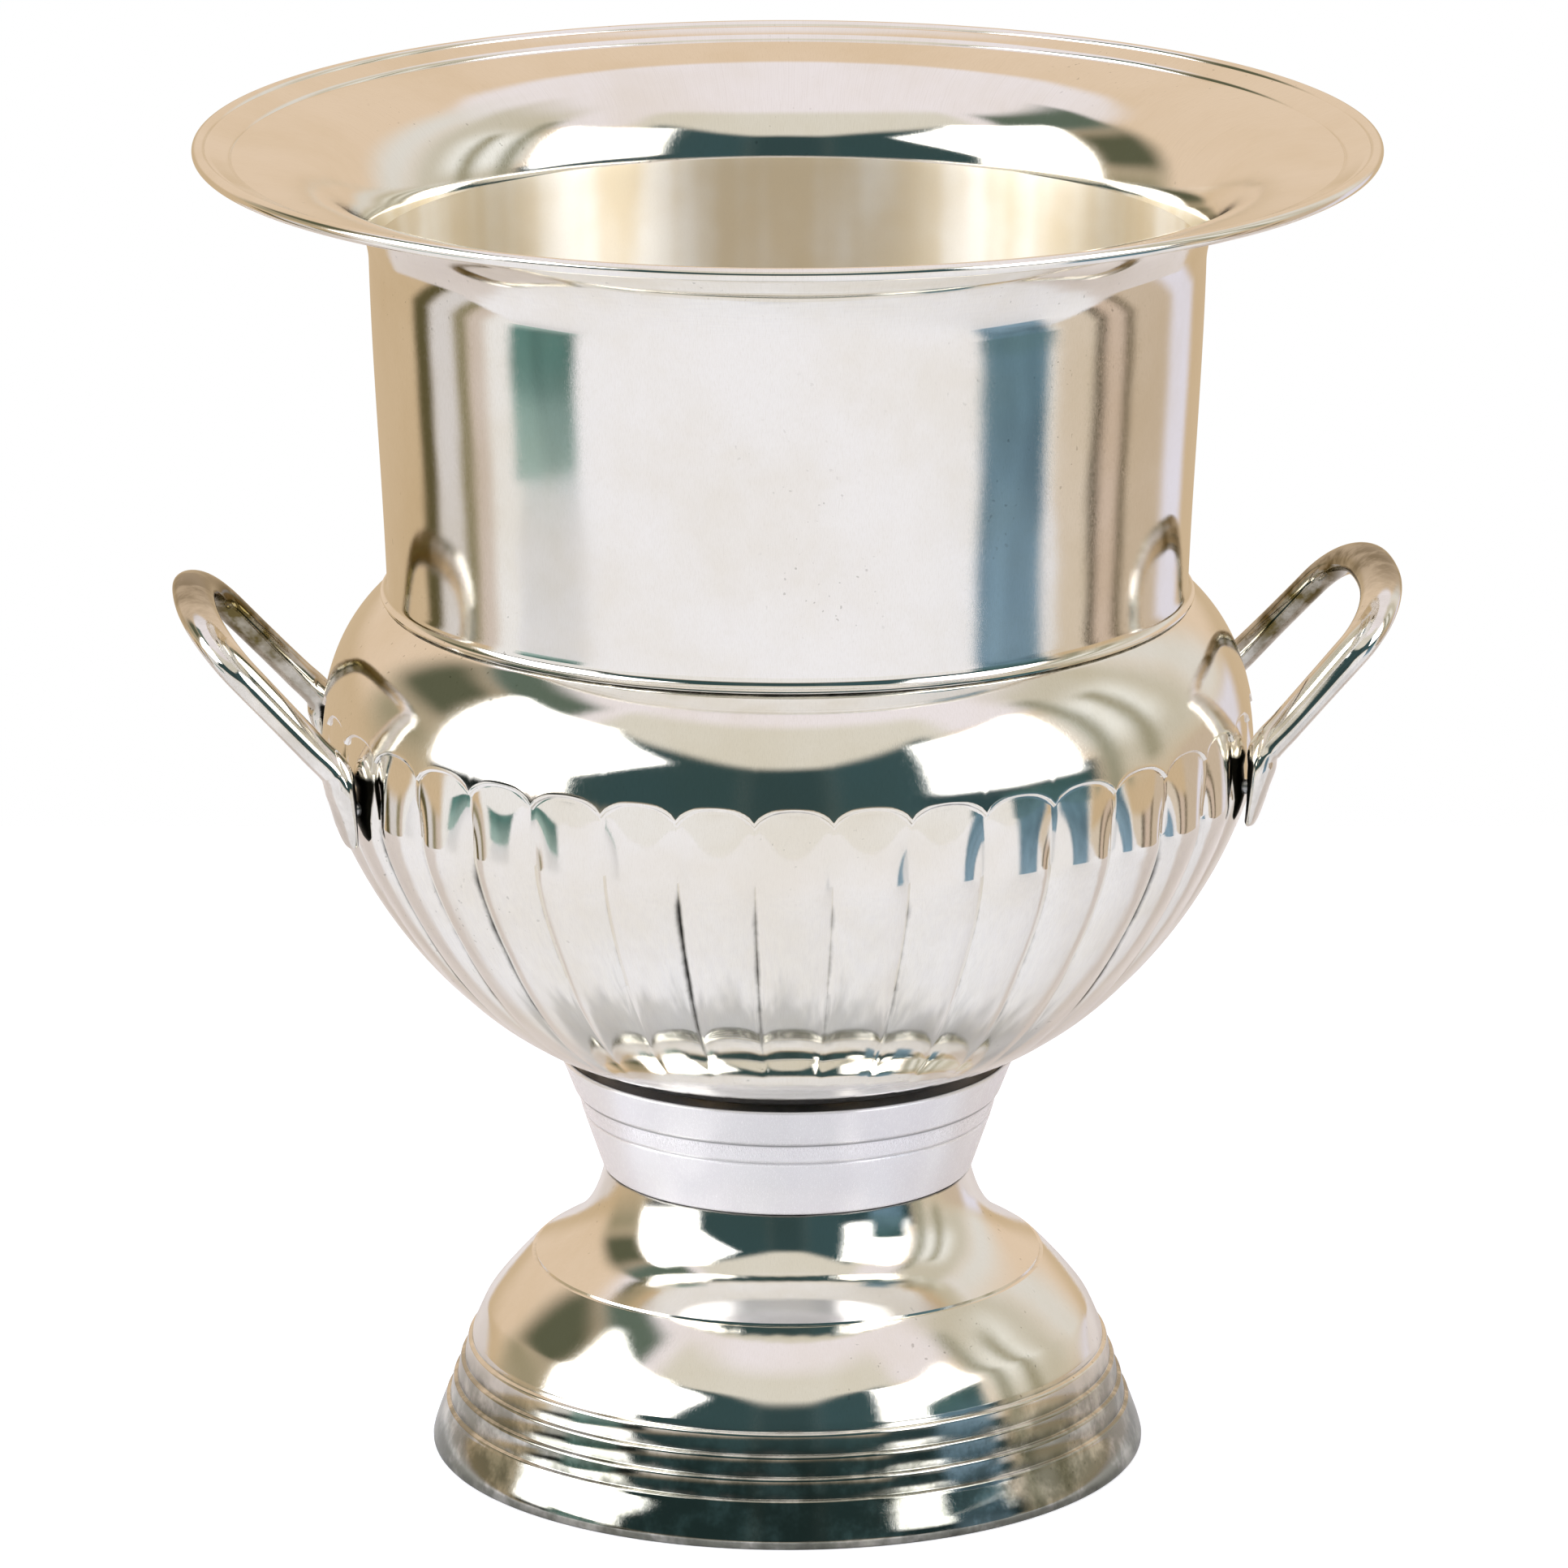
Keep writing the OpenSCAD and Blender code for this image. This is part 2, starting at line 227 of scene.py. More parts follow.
def around_axis(graph, turn_scale, line_scale):
    """Coordinates that change slowly round the object's axis and quickly across it."""
    place = graph.add("ShaderNodeTexCoord").outputs["Object"]
    parts = graph.add("ShaderNodeSeparateXYZ", {0: place}).outputs
    radius = graph.math("SQRT", graph.plus(graph.times(parts[0], parts[0]), graph.times(parts[1], parts[1])))
    turn = graph.math("DIVIDE", turn_scale, graph.math("MAXIMUM", radius, 0.001))
    across = graph.times(graph.math("SUBTRACT", parts[2], graph.times(radius, 0.6)), line_scale)
    inputs = {0: graph.times(parts[0], turn), 1: graph.times(parts[1], turn), 2: across}
    return place, graph.add("ShaderNodeCombineXYZ", inputs).outputs[0]


def bumped(graph, height, distance, strength, normal=None):
    """A normal roughened by a height, on top of another normal if one is given."""
    inputs = {"Height": height, "Distance": distance, "Strength": strength}
    if normal is not None:
        inputs["Normal"] = normal
    return graph.add("ShaderNodeBump", inputs).outputs[0]


def new_material(name):
    material = bpy.data.materials.new(name)
    material.use_nodes = True
    return material, Graph(material.node_tree)


def polished_silver(name, tarnish, wave_share, least_cover, tone):
    """Bright silver plate: fine polishing lines round the axis, slight waves, smudges, and painted shade with
    some oxide in its crevices.
    tarnish is how much of it lies everywhere in cloudy patches, tone its colour, least_cover how much of it
    stays between the patches where the mesh is marked as tarnished, wave_share how wavy the plate is."""
    material, graph = new_material(name)
    place, lines_at = around_axis(graph, 1.5, 1.0)
    lines = graph.noise(lines_at, 900.0, 3.0, 0.6)
    smudges = graph.noise(place, 28.0, 4.0, 0.6)
    waves = graph.noise(place, 45.0, 1.0, 0.4)
    specks = graph.step(graph.noise(place, 900.0, 1.0, 0.4), 0.72, 0.78)
    speckled_area = graph.step(graph.noise(place, 22.0, 1.0), 0.5, 0.66)
    specks = graph.times(specks, speckled_area)
    # painted shade, with some oxide, read from the mesh's marks and broken up by noise
    shade_and_oxide = graph.add("ShaderNodeAttribute", attribute_name="shade_and_oxide").outputs["Fac"]
    broken = graph.noise(place, 160.0, 3.0, 0.6)
    shade_and_oxide = graph.step(graph.plus(shade_and_oxide, graph.times(graph.math("SUBTRACT", broken, 0.5), 0.5)), 0.25, 0.8)
    clean = graph.mix(graph.step(smudges, 0.35, 0.75), linear(249, 247, 242), linear(241, 236, 224))
    lined = graph.mix(graph.step(lines, 0.45, 0.75, 0.0, 0.35), clean, linear(222, 216, 203))
    spotted = graph.mix(graph.times(specks, 0.4), lined, linear(120, 116, 104))
    clouds = graph.noise(place, 95.0, 4.0, 0.65)
    marked = graph.add("ShaderNodeAttribute", attribute_name="tarnish").outputs["Fac"]
    cloudy = graph.plus(graph.step(clouds, 0.36, 0.62, 0.0, tarnish),
                        graph.times(marked, graph.step(clouds, 0.34, 0.6, least_cover, 0.95)))
    toned = graph.mix(cloudy, spotted, tone)
    # painted shade: the marked crevices darken to near black
    colour = graph.mix(shade_and_oxide, toned, linear(22, 22, 18))
    roughness = graph.step(smudges, 0.3, 0.8, 0.03, 0.085)
    roughness = graph.plus(roughness, graph.times(shade_and_oxide, 0.4))
    normal = bumped(graph, waves, 0.00045, wave_share)
    normal = bumped(graph, lines, 0.000012, 0.25, normal)
    shader = graph.add("ShaderNodeBsdfPrincipled", {
        "Base Color": colour, "Metallic": 1.0, "Roughness": roughness, "Normal": normal})
    graph.add("ShaderNodeOutputMaterial", {"Surface": shader.outputs[0]})
    return material


def satin_silver(name, light, dark, roughness, line_depth, metal):
    """Silver left with the marks of the spinning tool: soft, brushed round the axis, with faint tan bands that
    run down it, a painted reflection of the studio's upright areas. metal is how much of it shines, and the
    rest is chalky."""
    material, graph = new_material(name)
    place, lines_at = around_axis(graph, 1.2, 1.0)
    lines = graph.noise(lines_at, 1500.0, 4.0, 0.65)
    broad = graph.noise(place, 35.0, 3.0, 0.55)
    shade_and_oxide = graph.add("ShaderNodeAttribute", attribute_name="shade_and_oxide").outputs["Fac"]
    # painted reflection: tan bands that run up and down, standing for the satin's streaked reflections
    stretched = graph.add("ShaderNodeVectorMath", {0: place, 1: (1, 1, 0.05)}, operation="MULTIPLY").outputs[0]
    runs = graph.noise(stretched, 62.0, 2.0, 0.5)
    colour = graph.mix(graph.step(graph.plus(graph.times(broad, 0.3), graph.times(runs, 0.7)), 0.38, 0.6), light,
                       dark)
    colour = graph.mix(graph.step(lines, 0.5, 0.8, 0.0, 0.25), colour, linear(200, 194, 180))
    # painted shade, with some oxide, in the marked crevices
    colour = graph.mix(graph.step(shade_and_oxide, 0.2, 0.8), colour, linear(24, 24, 20))
    rough = graph.plus(graph.step(lines, 0.3, 0.7, roughness - 0.04, roughness + 0.04), graph.times(shade_and_oxide, 0.2))
    normal = bumped(graph, lines, line_depth, 0.5)
    tangent = graph.add("ShaderNodeTangent", direction_type="RADIAL", axis="Z").outputs[0]
    shader = graph.add("ShaderNodeBsdfPrincipled", {
        "Base Color": colour, "Metallic": metal, "Roughness": rough, "Normal": normal,
        "Anisotropic": 1.0, "Anisotropic Rotation": 0.25, "Tangent": tangent})
    graph.add("ShaderNodeOutputMaterial", {"Surface": shader.outputs[0]})
    return material


def plain_metal(name, light, dark, roughness, scale):
    """Turned or plated hardware: fine grain and stains."""
    material, graph = new_material(name)
    place = graph.add("ShaderNodeTexCoord").outputs["Object"]
    grain = graph.noise(place, scale, 4.0, 0.65)
    stains = graph.noise(place, scale / 14, 3.0, 0.6)
    colour = graph.mix(graph.step(stains, 0.35, 0.75), light, dark)
    rough = graph.step(grain, 0.25, 0.75, roughness - 0.08, roughness + 0.1)
    normal = bumped(graph, grain, 0.00003, 0.4)
    shader = graph.add("ShaderNodeBsdfPrincipled", {
        "Base Color": colour, "Metallic": 1.0, "Roughness": rough, "Normal": normal})
    graph.add("ShaderNodeOutputMaterial", {"Surface": shader.outputs[0]})
    return material


SILVER = polished_silver("polished_silver_plate", 0.0, 0.35, 0.3, linear(76, 82, 60))
HANDLE_SILVER = polished_silver("cast_handle_silver", 0.18, 0.6, 0.62, linear(104, 92, 56))
# light and dark are the two ends of the painted reflection bands
SATIN = satin_silver("satin_silver_inside", linear(253, 250, 243), linear(232, 218, 190),
                     0.44, 0.00002, 0.78)
COLLAR_SATIN = satin_silver("satin_silver_collar", linear(252, 251, 254), linear(246, 244, 249),
                            0.24, 0.00001, 0.6)
BRASS = plain_metal("bare_brass", linear(214, 178, 106), linear(176, 138, 74), 0.3, 900.0)
STEEL = plain_metal("plain_steel", linear(186, 188, 190), linear(150, 150, 148), 0.32, 1100.0)


# ---------------------------------------------------------------- neck and rim

RIM_R, RIM_Z, BEAD_R = 114.7, 264.8, 1.36
NECK_R, NECK_WALL, NECK_COLUMNS = 78.8, 0.8, 360
THROAT_R, THROAT_Z = 81.8, 242.5
JOINT_Z = 175.0
LIP_R = NECK_R + 1.4
BRIM_R, BRIM_Z = RIM_R - 6, RIM_Z - 2


def neck_outside():
    """Outer face from the lip on the bowl to the underside of the brim's border."""
    lip = (LIP_R - 0.1, JOINT_Z + 0.35)
    foot = (NECK_R + 0.1, JOINT_Z + 4)
    throat = (THROAT_R, THROAT_Z)
    flare = (THROAT_R + 14.5, THROAT_Z + 18)
    step = (BRIM_R, BRIM_Z - 0.2)
    path = [lip, (LIP_R, JOINT_Z + 0.55), (LIP_R - 0.05, JOINT_Z + 0.8)]
    path += bezier(path[-1], (NECK_R + 0.5, JOINT_Z + 1.0), (NECK_R, JOINT_Z + 1.6), foot, 12)
    path += bezier(foot, (NECK_R + 0.9, JOINT_Z + 26), (THROAT_R - 0.5, THROAT_Z - 22), throat, 30)
    path += bezier(throat, (THROAT_R + 0.1, THROAT_Z + 7), (THROAT_R + 4.8, THROAT_Z + 14.9), flare, 40)
    path += bezier(flare, (THROAT_R + 18.5, THROAT_Z + 19.2), (BRIM_R - 4, BRIM_Z - 0.8), step, 12)
    path += bezier(step, (BRIM_R + 0.35, BRIM_Z - 0.1), (BRIM_R + 0.3, BRIM_Z + 0.5),
                   (BRIM_R + 0.7, BRIM_Z + 0.6), 6)
    path += bezier(path[-1], (BRIM_R + 2, BRIM_Z + 0.95), (BRIM_R + 3.2, BRIM_Z + 1.35),
                   (BRIM_R + 4.6, BRIM_Z + 1.8), 8)
    return path


def make_neck():
    outside = neck_outside()
    inside = [p for p in beside(outside, NECK_WALL) if p[1] > JOINT_Z + 0.5]
    bead = arc((RIM_R, RIM_Z), BEAD_R, -125, 158, 30)
    outline = outside + bead + inside[::-1] + [(LIP_R - NECK_WALL - 0.8, JOINT_Z + 0.45)]
    mesh = spun_mesh("neck", outline, NECK_COLUMNS)
    heights = np.array(outline)[:, 1]
    radii = np.array(outline)[:, 0]
    # painted shade, with some oxide: a dark line in the seam at the lip, and under the rolled bead
    at_lip = 0.6 * bump_at(heights, JOINT_Z + 0.35, 0.16)
    at_bead = 0.55 * bump_at(np.hypot(radii - RIM_R + 1.4, heights - RIM_Z + 0.5), 0, 0.25)
    shade_and_oxide = np.maximum(at_lip, at_bead)
    set_shade_and_oxide(mesh, np.repeat(shade_and_oxide, NECK_COLUMNS))
    satin_rows = [k >= len(outside) + len(bead) and z < THROAT_Z + 2.6 for k, (r, z) in enumerate(outline)]
    for face in mesh.polygons:
        face.material_index = int(satin_rows[min(face.vertices) // NECK_COLUMNS])
    finish_piece("neck_with_rolled_rim", mesh, [SILVER, SATIN], ["neck_shell"])


# ---------------------------------------------------------------- bowl

BELLY_R, BELLY_Z, BOWL_WALL = 92.3, 140.0, 1.2
FLOOR_Z, FLOOR_R = 80.0, 32.0
SEAT = (45.0, 83.2)
SPIGOT_R = NECK_R - NECK_WALL - 0.15
CREASE = 1.9
# the creases grow deep below the scallops and run out above the floor
OPENING_LENGTH = 14
CLOSING_Z, CLOSING_LENGTH = FLOOR_Z + 8, 30
# the scalloped edge between the plain shoulder and the flutes: highest point, and how far it falls
SCALLOP_TOP, SCALLOP_FALL, SCALLOP_MIDDLE = 155.6, 3.6, 154.0
LEDGE = 0.7
SHEET_FOLLOWS = 0.85
FLUTE_COLUMNS = 16
# the heights between which the rows of points bend along the scallops
BEND_LOW, BEND_HIGH = 141.0, 167.0


def shoulder_curve(steps):
    """The plain shoulder, from the belly's widest part up to the joint."""
    end = (NECK_R + 1.3, JOINT_Z - 0.2)
    return [(BELLY_R, 148.0)] + bezier((BELLY_R, 150.2), (91.0, 156), (90, 166.5), end, steps)


def lobe_curve(steps):
    """The crests of the flutes: belly, then a little way up inside the shoulder's edge."""
    path = [SEAT] + bezier(SEAT, (76.2, 96), (BELLY_R - 0.05, BELLY_Z - 6.7), (BELLY_R - 0.05, BELLY_Z), steps)
    return path + bezier(path[-1], (BELLY_R - 0.05, 146), (91.9, 151), (90.75, 157), steps // 3)


def inside_curve():
    """Inner face of the bowl's sheet, from the floor up to the spigot."""
    path = [(FLOOR_R * 0.35, FLOOR_Z), (FLOOR_R * 0.7, FLOOR_Z), (FLOOR_R, FLOOR_Z)]
    path += bezier(path[-1], (FLOOR_R + 4, FLOOR_Z), (41.5, 81.6), SEAT, 6)
    path += bezier(SEAT, (76.2, 96), (BELLY_R - 0.4, BELLY_Z - 6.7), (BELLY_R - 0.4, BELLY_Z), 30)
    path += bezier(path[-1], (BELLY_R - 0.4, 151), (90, 166), (NECK_R + 1.1, JOINT_Z - 0.4), 18)
    path += [(SPIGOT_R + 0.4, JOINT_Z + 0.2), (SPIGOT_R, JOINT_Z + 0.9), (SPIGOT_R, JOINT_Z + 6)]
    return np.array(beside(path, BOWL_WALL))


def height_lookup(curve):
    """A function that gives the curve's radius at a height."""
    curve = np.array(curve)
    return lambda height: np.interp(height, curve[:, 1], curve[:, 0])


def scallop_height(across):
    """Height of the scalloped edge. across is 0 on a flute's middle and 1 in a crease."""
    return SCALLOP_TOP - SCALLOP_FALL * (1 - np.sqrt(np.clip(1 - 0.985 * across ** 2, 0, 1)))


def flute_depth(across, height):
    """How far the face lies inside the crests of the flutes."""
    below = scallop_height(across) - height
    lobe = 0.72 * across ** 2.3 + 0.28 * np.exp(-((1 - across) / 0.09) ** 1.3)
    opening = 0.3 + 0.7 * eased(below / OPENING_LENGTH)
    closing = 0.05 + 0.95 * np.clip((height - CLOSING_Z) / CLOSING_LENGTH, 0, 1) ** 1.2
    return CREASE * lobe * opening * closing


def belly_rows(across):
    """Radius and height of the outer face from the seat up to the shoulder's end, and the painted shade of its
    crevices, one row of numbers for each row of points."""
    shoulder, crest = height_lookup(shoulder_curve(900)), height_lookup(lobe_curve(1500))
    edge = scallop_height(across)
    low_part = np.array(lobe_curve(66))
    low_part = low_part[low_part[:, 1] < BEND_LOW, 1]
    middle = SCALLOP_MIDDLE - LEDGE
    heights = np.concatenate([low_part, np.linspace(BEND_LOW, middle, 22),
                              middle + LEDGE * np.linspace(0, 1, 8)[1:],
                              np.linspace(SCALLOP_MIDDLE, BEND_HIGH, 22)[1:]])
    random = np.random.default_rng(11)
    # painted shade under the scallop ledge, of a random strength on each flute
    ledge_shade = np.repeat(random.uniform(0.0, 0.55, FLUTES), FLUTE_COLUMNS)
    streaked = np.roll(np.repeat(random.uniform(0.45, 1.25, FLUTES), FLUTE_COLUMNS), FLUTE_COLUMNS // 2)
    rows, dark = [], []
    for level in heights:
        bend = np.interp(level, [BEND_LOW, middle - 2, SCALLOP_MIDDLE + 2, BEND_HIGH], [0, 1, 1, 0])
        bend = eased(bend)
        height = level + (edge - SCALLOP_MIDDLE) * bend
        below = crest(height) - flute_depth(across, height)
        share = eased((height - edge + LEDGE) / LEDGE)
        rows.append((below + (shoulder(height) - below) * share, height))
        # painted shade: soft dark streaks down the creases below the scallops, and a dark line under the ledge
        deep = np.clip((edge - height - 6) / 12, 0, 1) * np.clip((height - 90) / 16, 0, 1)
        crease = 0.5 * np.exp(-((1 - across) / 0.08) ** 2) + 0.13 * np.exp(-((1 - across) / 0.3) ** 2)
        dark.append(np.maximum(crease * deep * streaked, ledge_shade * bump_at(height - edge, -0.45, 0.3)))
    return rows, dark


def make_bowl():
    columns = FLUTES * FLUTE_COLUMNS
    turn = np.arange(columns) / FLUTE_COLUMNS
    across = np.abs(2 * (turn % 1) - 1)
    across = np.where(across < 0.5, across, 1 - (1 - across) * (2 - across) * 0.666)
    angles = TAU / 4 + turn * TAU / FLUTES
    cos, sin = np.cos(angles), np.sin(angles)
    plain = np.ones(columns)

    floor = [(FLOOR_R * 0.35, FLOOR_Z), (FLOOR_R * 0.7, FLOOR_Z), (FLOOR_R, FLOOR_Z)]
    floor += bezier(floor[-1], (FLOOR_R + 4, FLOOR_Z), (41.5, 81.6), SEAT, 6)[:-1]
    belly, belly_dark = belly_rows(across)
    top = [p for p in shoulder_curve(60) if p[1] > BEND_HIGH + 0.2]
    top += bezier(top[-1], (NECK_R + 0.7, JOINT_Z + 0.3), (SPIGOT_R + 0.8, JOINT_Z + 0.35),
                  (SPIGOT_R + 0.2, JOINT_Z + 0.4), 4)
    top += [(SPIGOT_R, JOINT_Z + 0.9), (SPIGOT_R, JOINT_Z + 6)]
    inside = inside_curve()[::-1]

    rows = [(r * plain, z * plain) for r, z in floor] + belly + [(r * plain, z * plain) for r, z in top]
    outside_rows = len(rows)
    for r, z in inside:
        rows.append((r - SHEET_FOLLOWS * flute_depth(across, z) * (z < SCALLOP_TOP), z * plain))
    grid = np.array([np.stack([radius * cos, radius * sin, height], -1) for radius, height in rows])
    count = len(rows)
    faces = grid_faces(count, columns, False, True)
    points = np.concatenate([grid.reshape(-1, 3), [[0, 0, FLOOR_Z], [0, 0, FLOOR_Z + BOWL_WALL]]])
    low_centre, high_centre = count * columns, count * columns + 1
    last = (count - 1) * columns
    for j in range(columns):
        k = (j + 1) % columns
        faces.append([low_centre, k, j])
        faces.append([high_centre, last + j, last + k])
    mesh = mesh_from("bowl", points, faces)
    # painted shade and oxide: none on the floor rows, a dark line in the joint under the neck's lip, and a dark
    # seam just above the floor where the collar meets the bowl
    clean = [plain * 0.0]
    dark = clean * len(floor) + belly_dark
    dark += [plain * 0.6 * bump_at(z, JOINT_Z + 0.4, 0.35) for r, z in top]
    dark += clean * len(inside)
    seam = bump_at(points[:, 2], FLOOR_Z + 2.0, 1.3)
    seam[outside_rows * columns:] = 0
    set_shade_and_oxide(mesh, np.maximum(np.append(np.concatenate(dark), [0, 0]), seam))
    for face in mesh.polygons:
        low = min(face.vertices)
        face.material_index = int(outside_rows <= low // columns < count or low == high_centre)
    finish_piece("fluted_bowl", mesh, [SILVER, SATIN], ["bowl_shell"], sharp=60)


# ---------------------------------------------------------------- handles

LOOP_TILT = math.radians(47)
LOOP_OUT = np.array([math.cos(LOOP_TILT), 0, math.sin(LOOP_TILT)])
LOOP_UP = np.array([-math.sin(LOOP_TILT), 0, math.cos(LOOP_TILT)])
LOOP_START = np.array([91.0, 0, 148.5])
LOOP_LENGTH, ROUNDED_LENGTH = 37.9, 15.0
LEG_HALF_W, LOOP_HALF_W = 30.0, 27.5
CORNER_POWER = 2.4
ROD_W, ROD_T = 8.6, 5.9
ROD_ROLL = math.radians(25)
FOOT_ANGLE = 2 * TAU / FLUTES
# height, distance of the back from the bowl's axis, width and thickness
FOOT_ROWS = [(133, 91.8, 3.6, 1.6), (135, 92.2, 6.6, 2.4), (138, 92.5, 8.8, 3.2),
             (141.5, 92.6, 9.4, 4.2), (145, 92.6, 9.2, 5.4)]
FOOT_STAND = 0.15
# distance from the bowl, width, thickness and roll at the four points of a leg
LEG_STATIONS = (0, 6, 12, 18)
LEG_SIZES = [(9.3, 6.1), (8.9, 5.9), (8.4, 5.7), (8.1, 5.6)]
LEG_ROLLS = np.radians([3, 9, 16, 22])


def half_handle():
    """Middle line, width, thickness and width direction from one foot's tip to the loop's far end."""
    line, sizes, widths = [], [], []
    for height, back, width, thickness in FOOT_ROWS:
        radius = back + FOOT_STAND + thickness / 2
        line.append([radius * math.cos(FOOT_ANGLE), -radius * math.sin(FOOT_ANGLE), height])
        sizes.append((width, thickness))
        widths.append([math.sin(FOOT_ANGLE), math.cos(FOOT_ANGLE), 0])
    leg_length = LOOP_LENGTH - ROUNDED_LENGTH
    for a, size in zip(LEG_STATIONS, LEG_SIZES):
        sizes.append(size)
        line.append(LOOP_START + a * LOOP_OUT
                    + [0, -LEG_HALF_W + (LEG_HALF_W - LOOP_HALF_W) * a / leg_length, 0])
    power = 2 / CORNER_POWER
    slim_w, slim_t = LEG_SIZES[-1]
    for t in np.radians(np.linspace(0, 90, 8)):
        line.append(LOOP_START + (leg_length + ROUNDED_LENGTH * math.sin(t) ** power) * LOOP_OUT
                    + [0, -LOOP_HALF_W * max(math.cos(t), 0) ** power, 0])
        sizes.append((slim_w + (ROD_W - slim_w) * math.sin(t), slim_t + (ROD_T - slim_t) * math.sin(t)))
    return np.array(line), sizes, widths


def smooth_through(values, steps):
    """A smooth curve through the given values, with the given number of steps between two of them."""
    values = np.asarray(values, float)
    padded = np.concatenate([[2 * values[0] - values[1]], values, [2 * values[-1] - values[-2]]])
    result = []
    for i in range(len(values) - 1):
        a, b, c, d = padded[i:i + 4]
        for t in np.linspace(0, 1, steps, endpoint=False):
            result.append(0.5 * (2 * b + (c - a) * t + (2 * a - 5 * b + 4 * c - d) * t ** 2
                                 + (3 * b - a - 3 * c + d) * t ** 3))
    return np.array(result + [values[-1]])


def unit_rows(vectors):
    """Each vector at length 1."""
    return vectors / np.linalg.norm(vectors, axis=-1, keepdims=True)


def make_handle(name, side, node):
    """One loop with its two feet. side is 1 for the handle on +X and -1 for the one on -X."""
    line, sizes, foot_widths = half_handle()
    mirror = np.array([1, -1, 1])
    line = np.concatenate([line, line[-2::-1] * mirror])
    sizes = np.array(sizes + sizes[-2::-1], float)
    heading = unit_rows(np.gradient(line, axis=0))
    inward = unit_rows(np.cross(LOOP_UP, heading))
    rolls = np.full(len(line), ROD_ROLL)
    first_leg = len(FOOT_ROWS)
    rolls[first_leg:first_leg + 4] = LEG_ROLLS
    rolls[-first_leg - 4:-first_leg] = LEG_ROLLS[::-1]
    widths = np.cos(rolls)[:, None] * inward + np.sin(rolls)[:, None] * LOOP_UP
    for i, width in enumerate(foot_widths):
        widths[i] = width
        widths[-1 - i] = np.array([width[0], -width[1], width[2]])
    steps, sides, cap_steps = 8, 44, 6
    line, sizes, widths = (smooth_through(v, steps) for v in (line, sizes, widths))
    heading = unit_rows(np.gradient(line, axis=0))
    # rounded tips
    tips = np.sin(np.linspace(0, TAU / 4, cap_steps + 1))[1:]
    count = len(line)
    shrink = np.ones(count)
    shrink[:cap_steps] = tips
    shrink[-cap_steps:] = tips[::-1]
    widths = unit_rows(widths - (widths * heading).sum(1, keepdims=True) * heading)
    depths = np.cross(heading, widths)
    angles = np.linspace(0, TAU, sides, endpoint=False)
    half = sizes * shrink[:, None] / 2
    points = (line[:, None, :] + (half[:, :1] * np.cos(angles))[..., None] * widths[:, None, :]
              + (half[:, 1:] * np.sin(angles))[..., None] * depths[:, None, :])
    faces = grid_faces(count, sides, False, True)
    points = np.concatenate([points.reshape(-1, 3), [line[0], line[-1]]])
    first, last = count * sides, count * sides + 1
    for j in range(sides):
        k = (j + 1) % sides
        faces.append([first, k, j])
        faces.append([last, (count - 1) * sides + j, (count - 1) * sides + k])
    points = points * [side, side, 1]
    mesh = mesh_from(name, points, faces)
    # the back leg and the top of the loop are tarnished, and the faces of the feet that look at the bowl are
    # painted black, a painted shade between the feet and the bowl
    along = np.linspace(0, 1, count) if side > 0 else np.linspace(1, 0, count)
    tarnish = np.clip((along - 0.4) / 0.1, 0, 1) * np.clip((0.88 - along) / 0.12, 0, 1)
    set_marks(mesh, "tarnish", np.append(np.repeat(tarnish, sides), [0, 0]))
    # painted shade on the faces that look at the bowl, below the loop
    centre_radius = np.append(np.repeat(np.hypot(line[:, 0], line[:, 1]), sides), [90, 90])
    reach = np.append(np.repeat(half[:, 1], sides), [1, 1])
    inner = (centre_radius - np.hypot(points[:, 0], points[:, 1])) / np.maximum(reach, 0.3)
    set_shade_and_oxide(mesh, np.clip((inner - 0.1) / 0.3, 0, 1) * np.clip((149 - points[:, 2]) / 2.5, 0, 1))
    finish_piece(name, mesh, [HANDLE_SILVER], [node], sharp=70)


# ---------------------------------------------------------------- collar and foot

COLLAR_TOP_R, COLLAR_TOP_Z, COLLAR_LOW_R, FOOT_TOP_Z = 45.3, 81.4, 36.8, 57.6
STUD_R, PLATE_T = 3.0, 2.0
WEB_TOP_Z = FLOOR_Z - PLATE_T
FOOT_R, FOOT_WALL = 71.1, 1.0
FINE_COLUMNS = 288


def collar_r(z):
    """Radius of the collar's plain cone at a height."""
    return COLLAR_LOW_R + (COLLAR_TOP_R - COLLAR_LOW_R) * (z - FOOT_TOP_Z) / (COLLAR_TOP_Z - FOOT_TOP_Z)


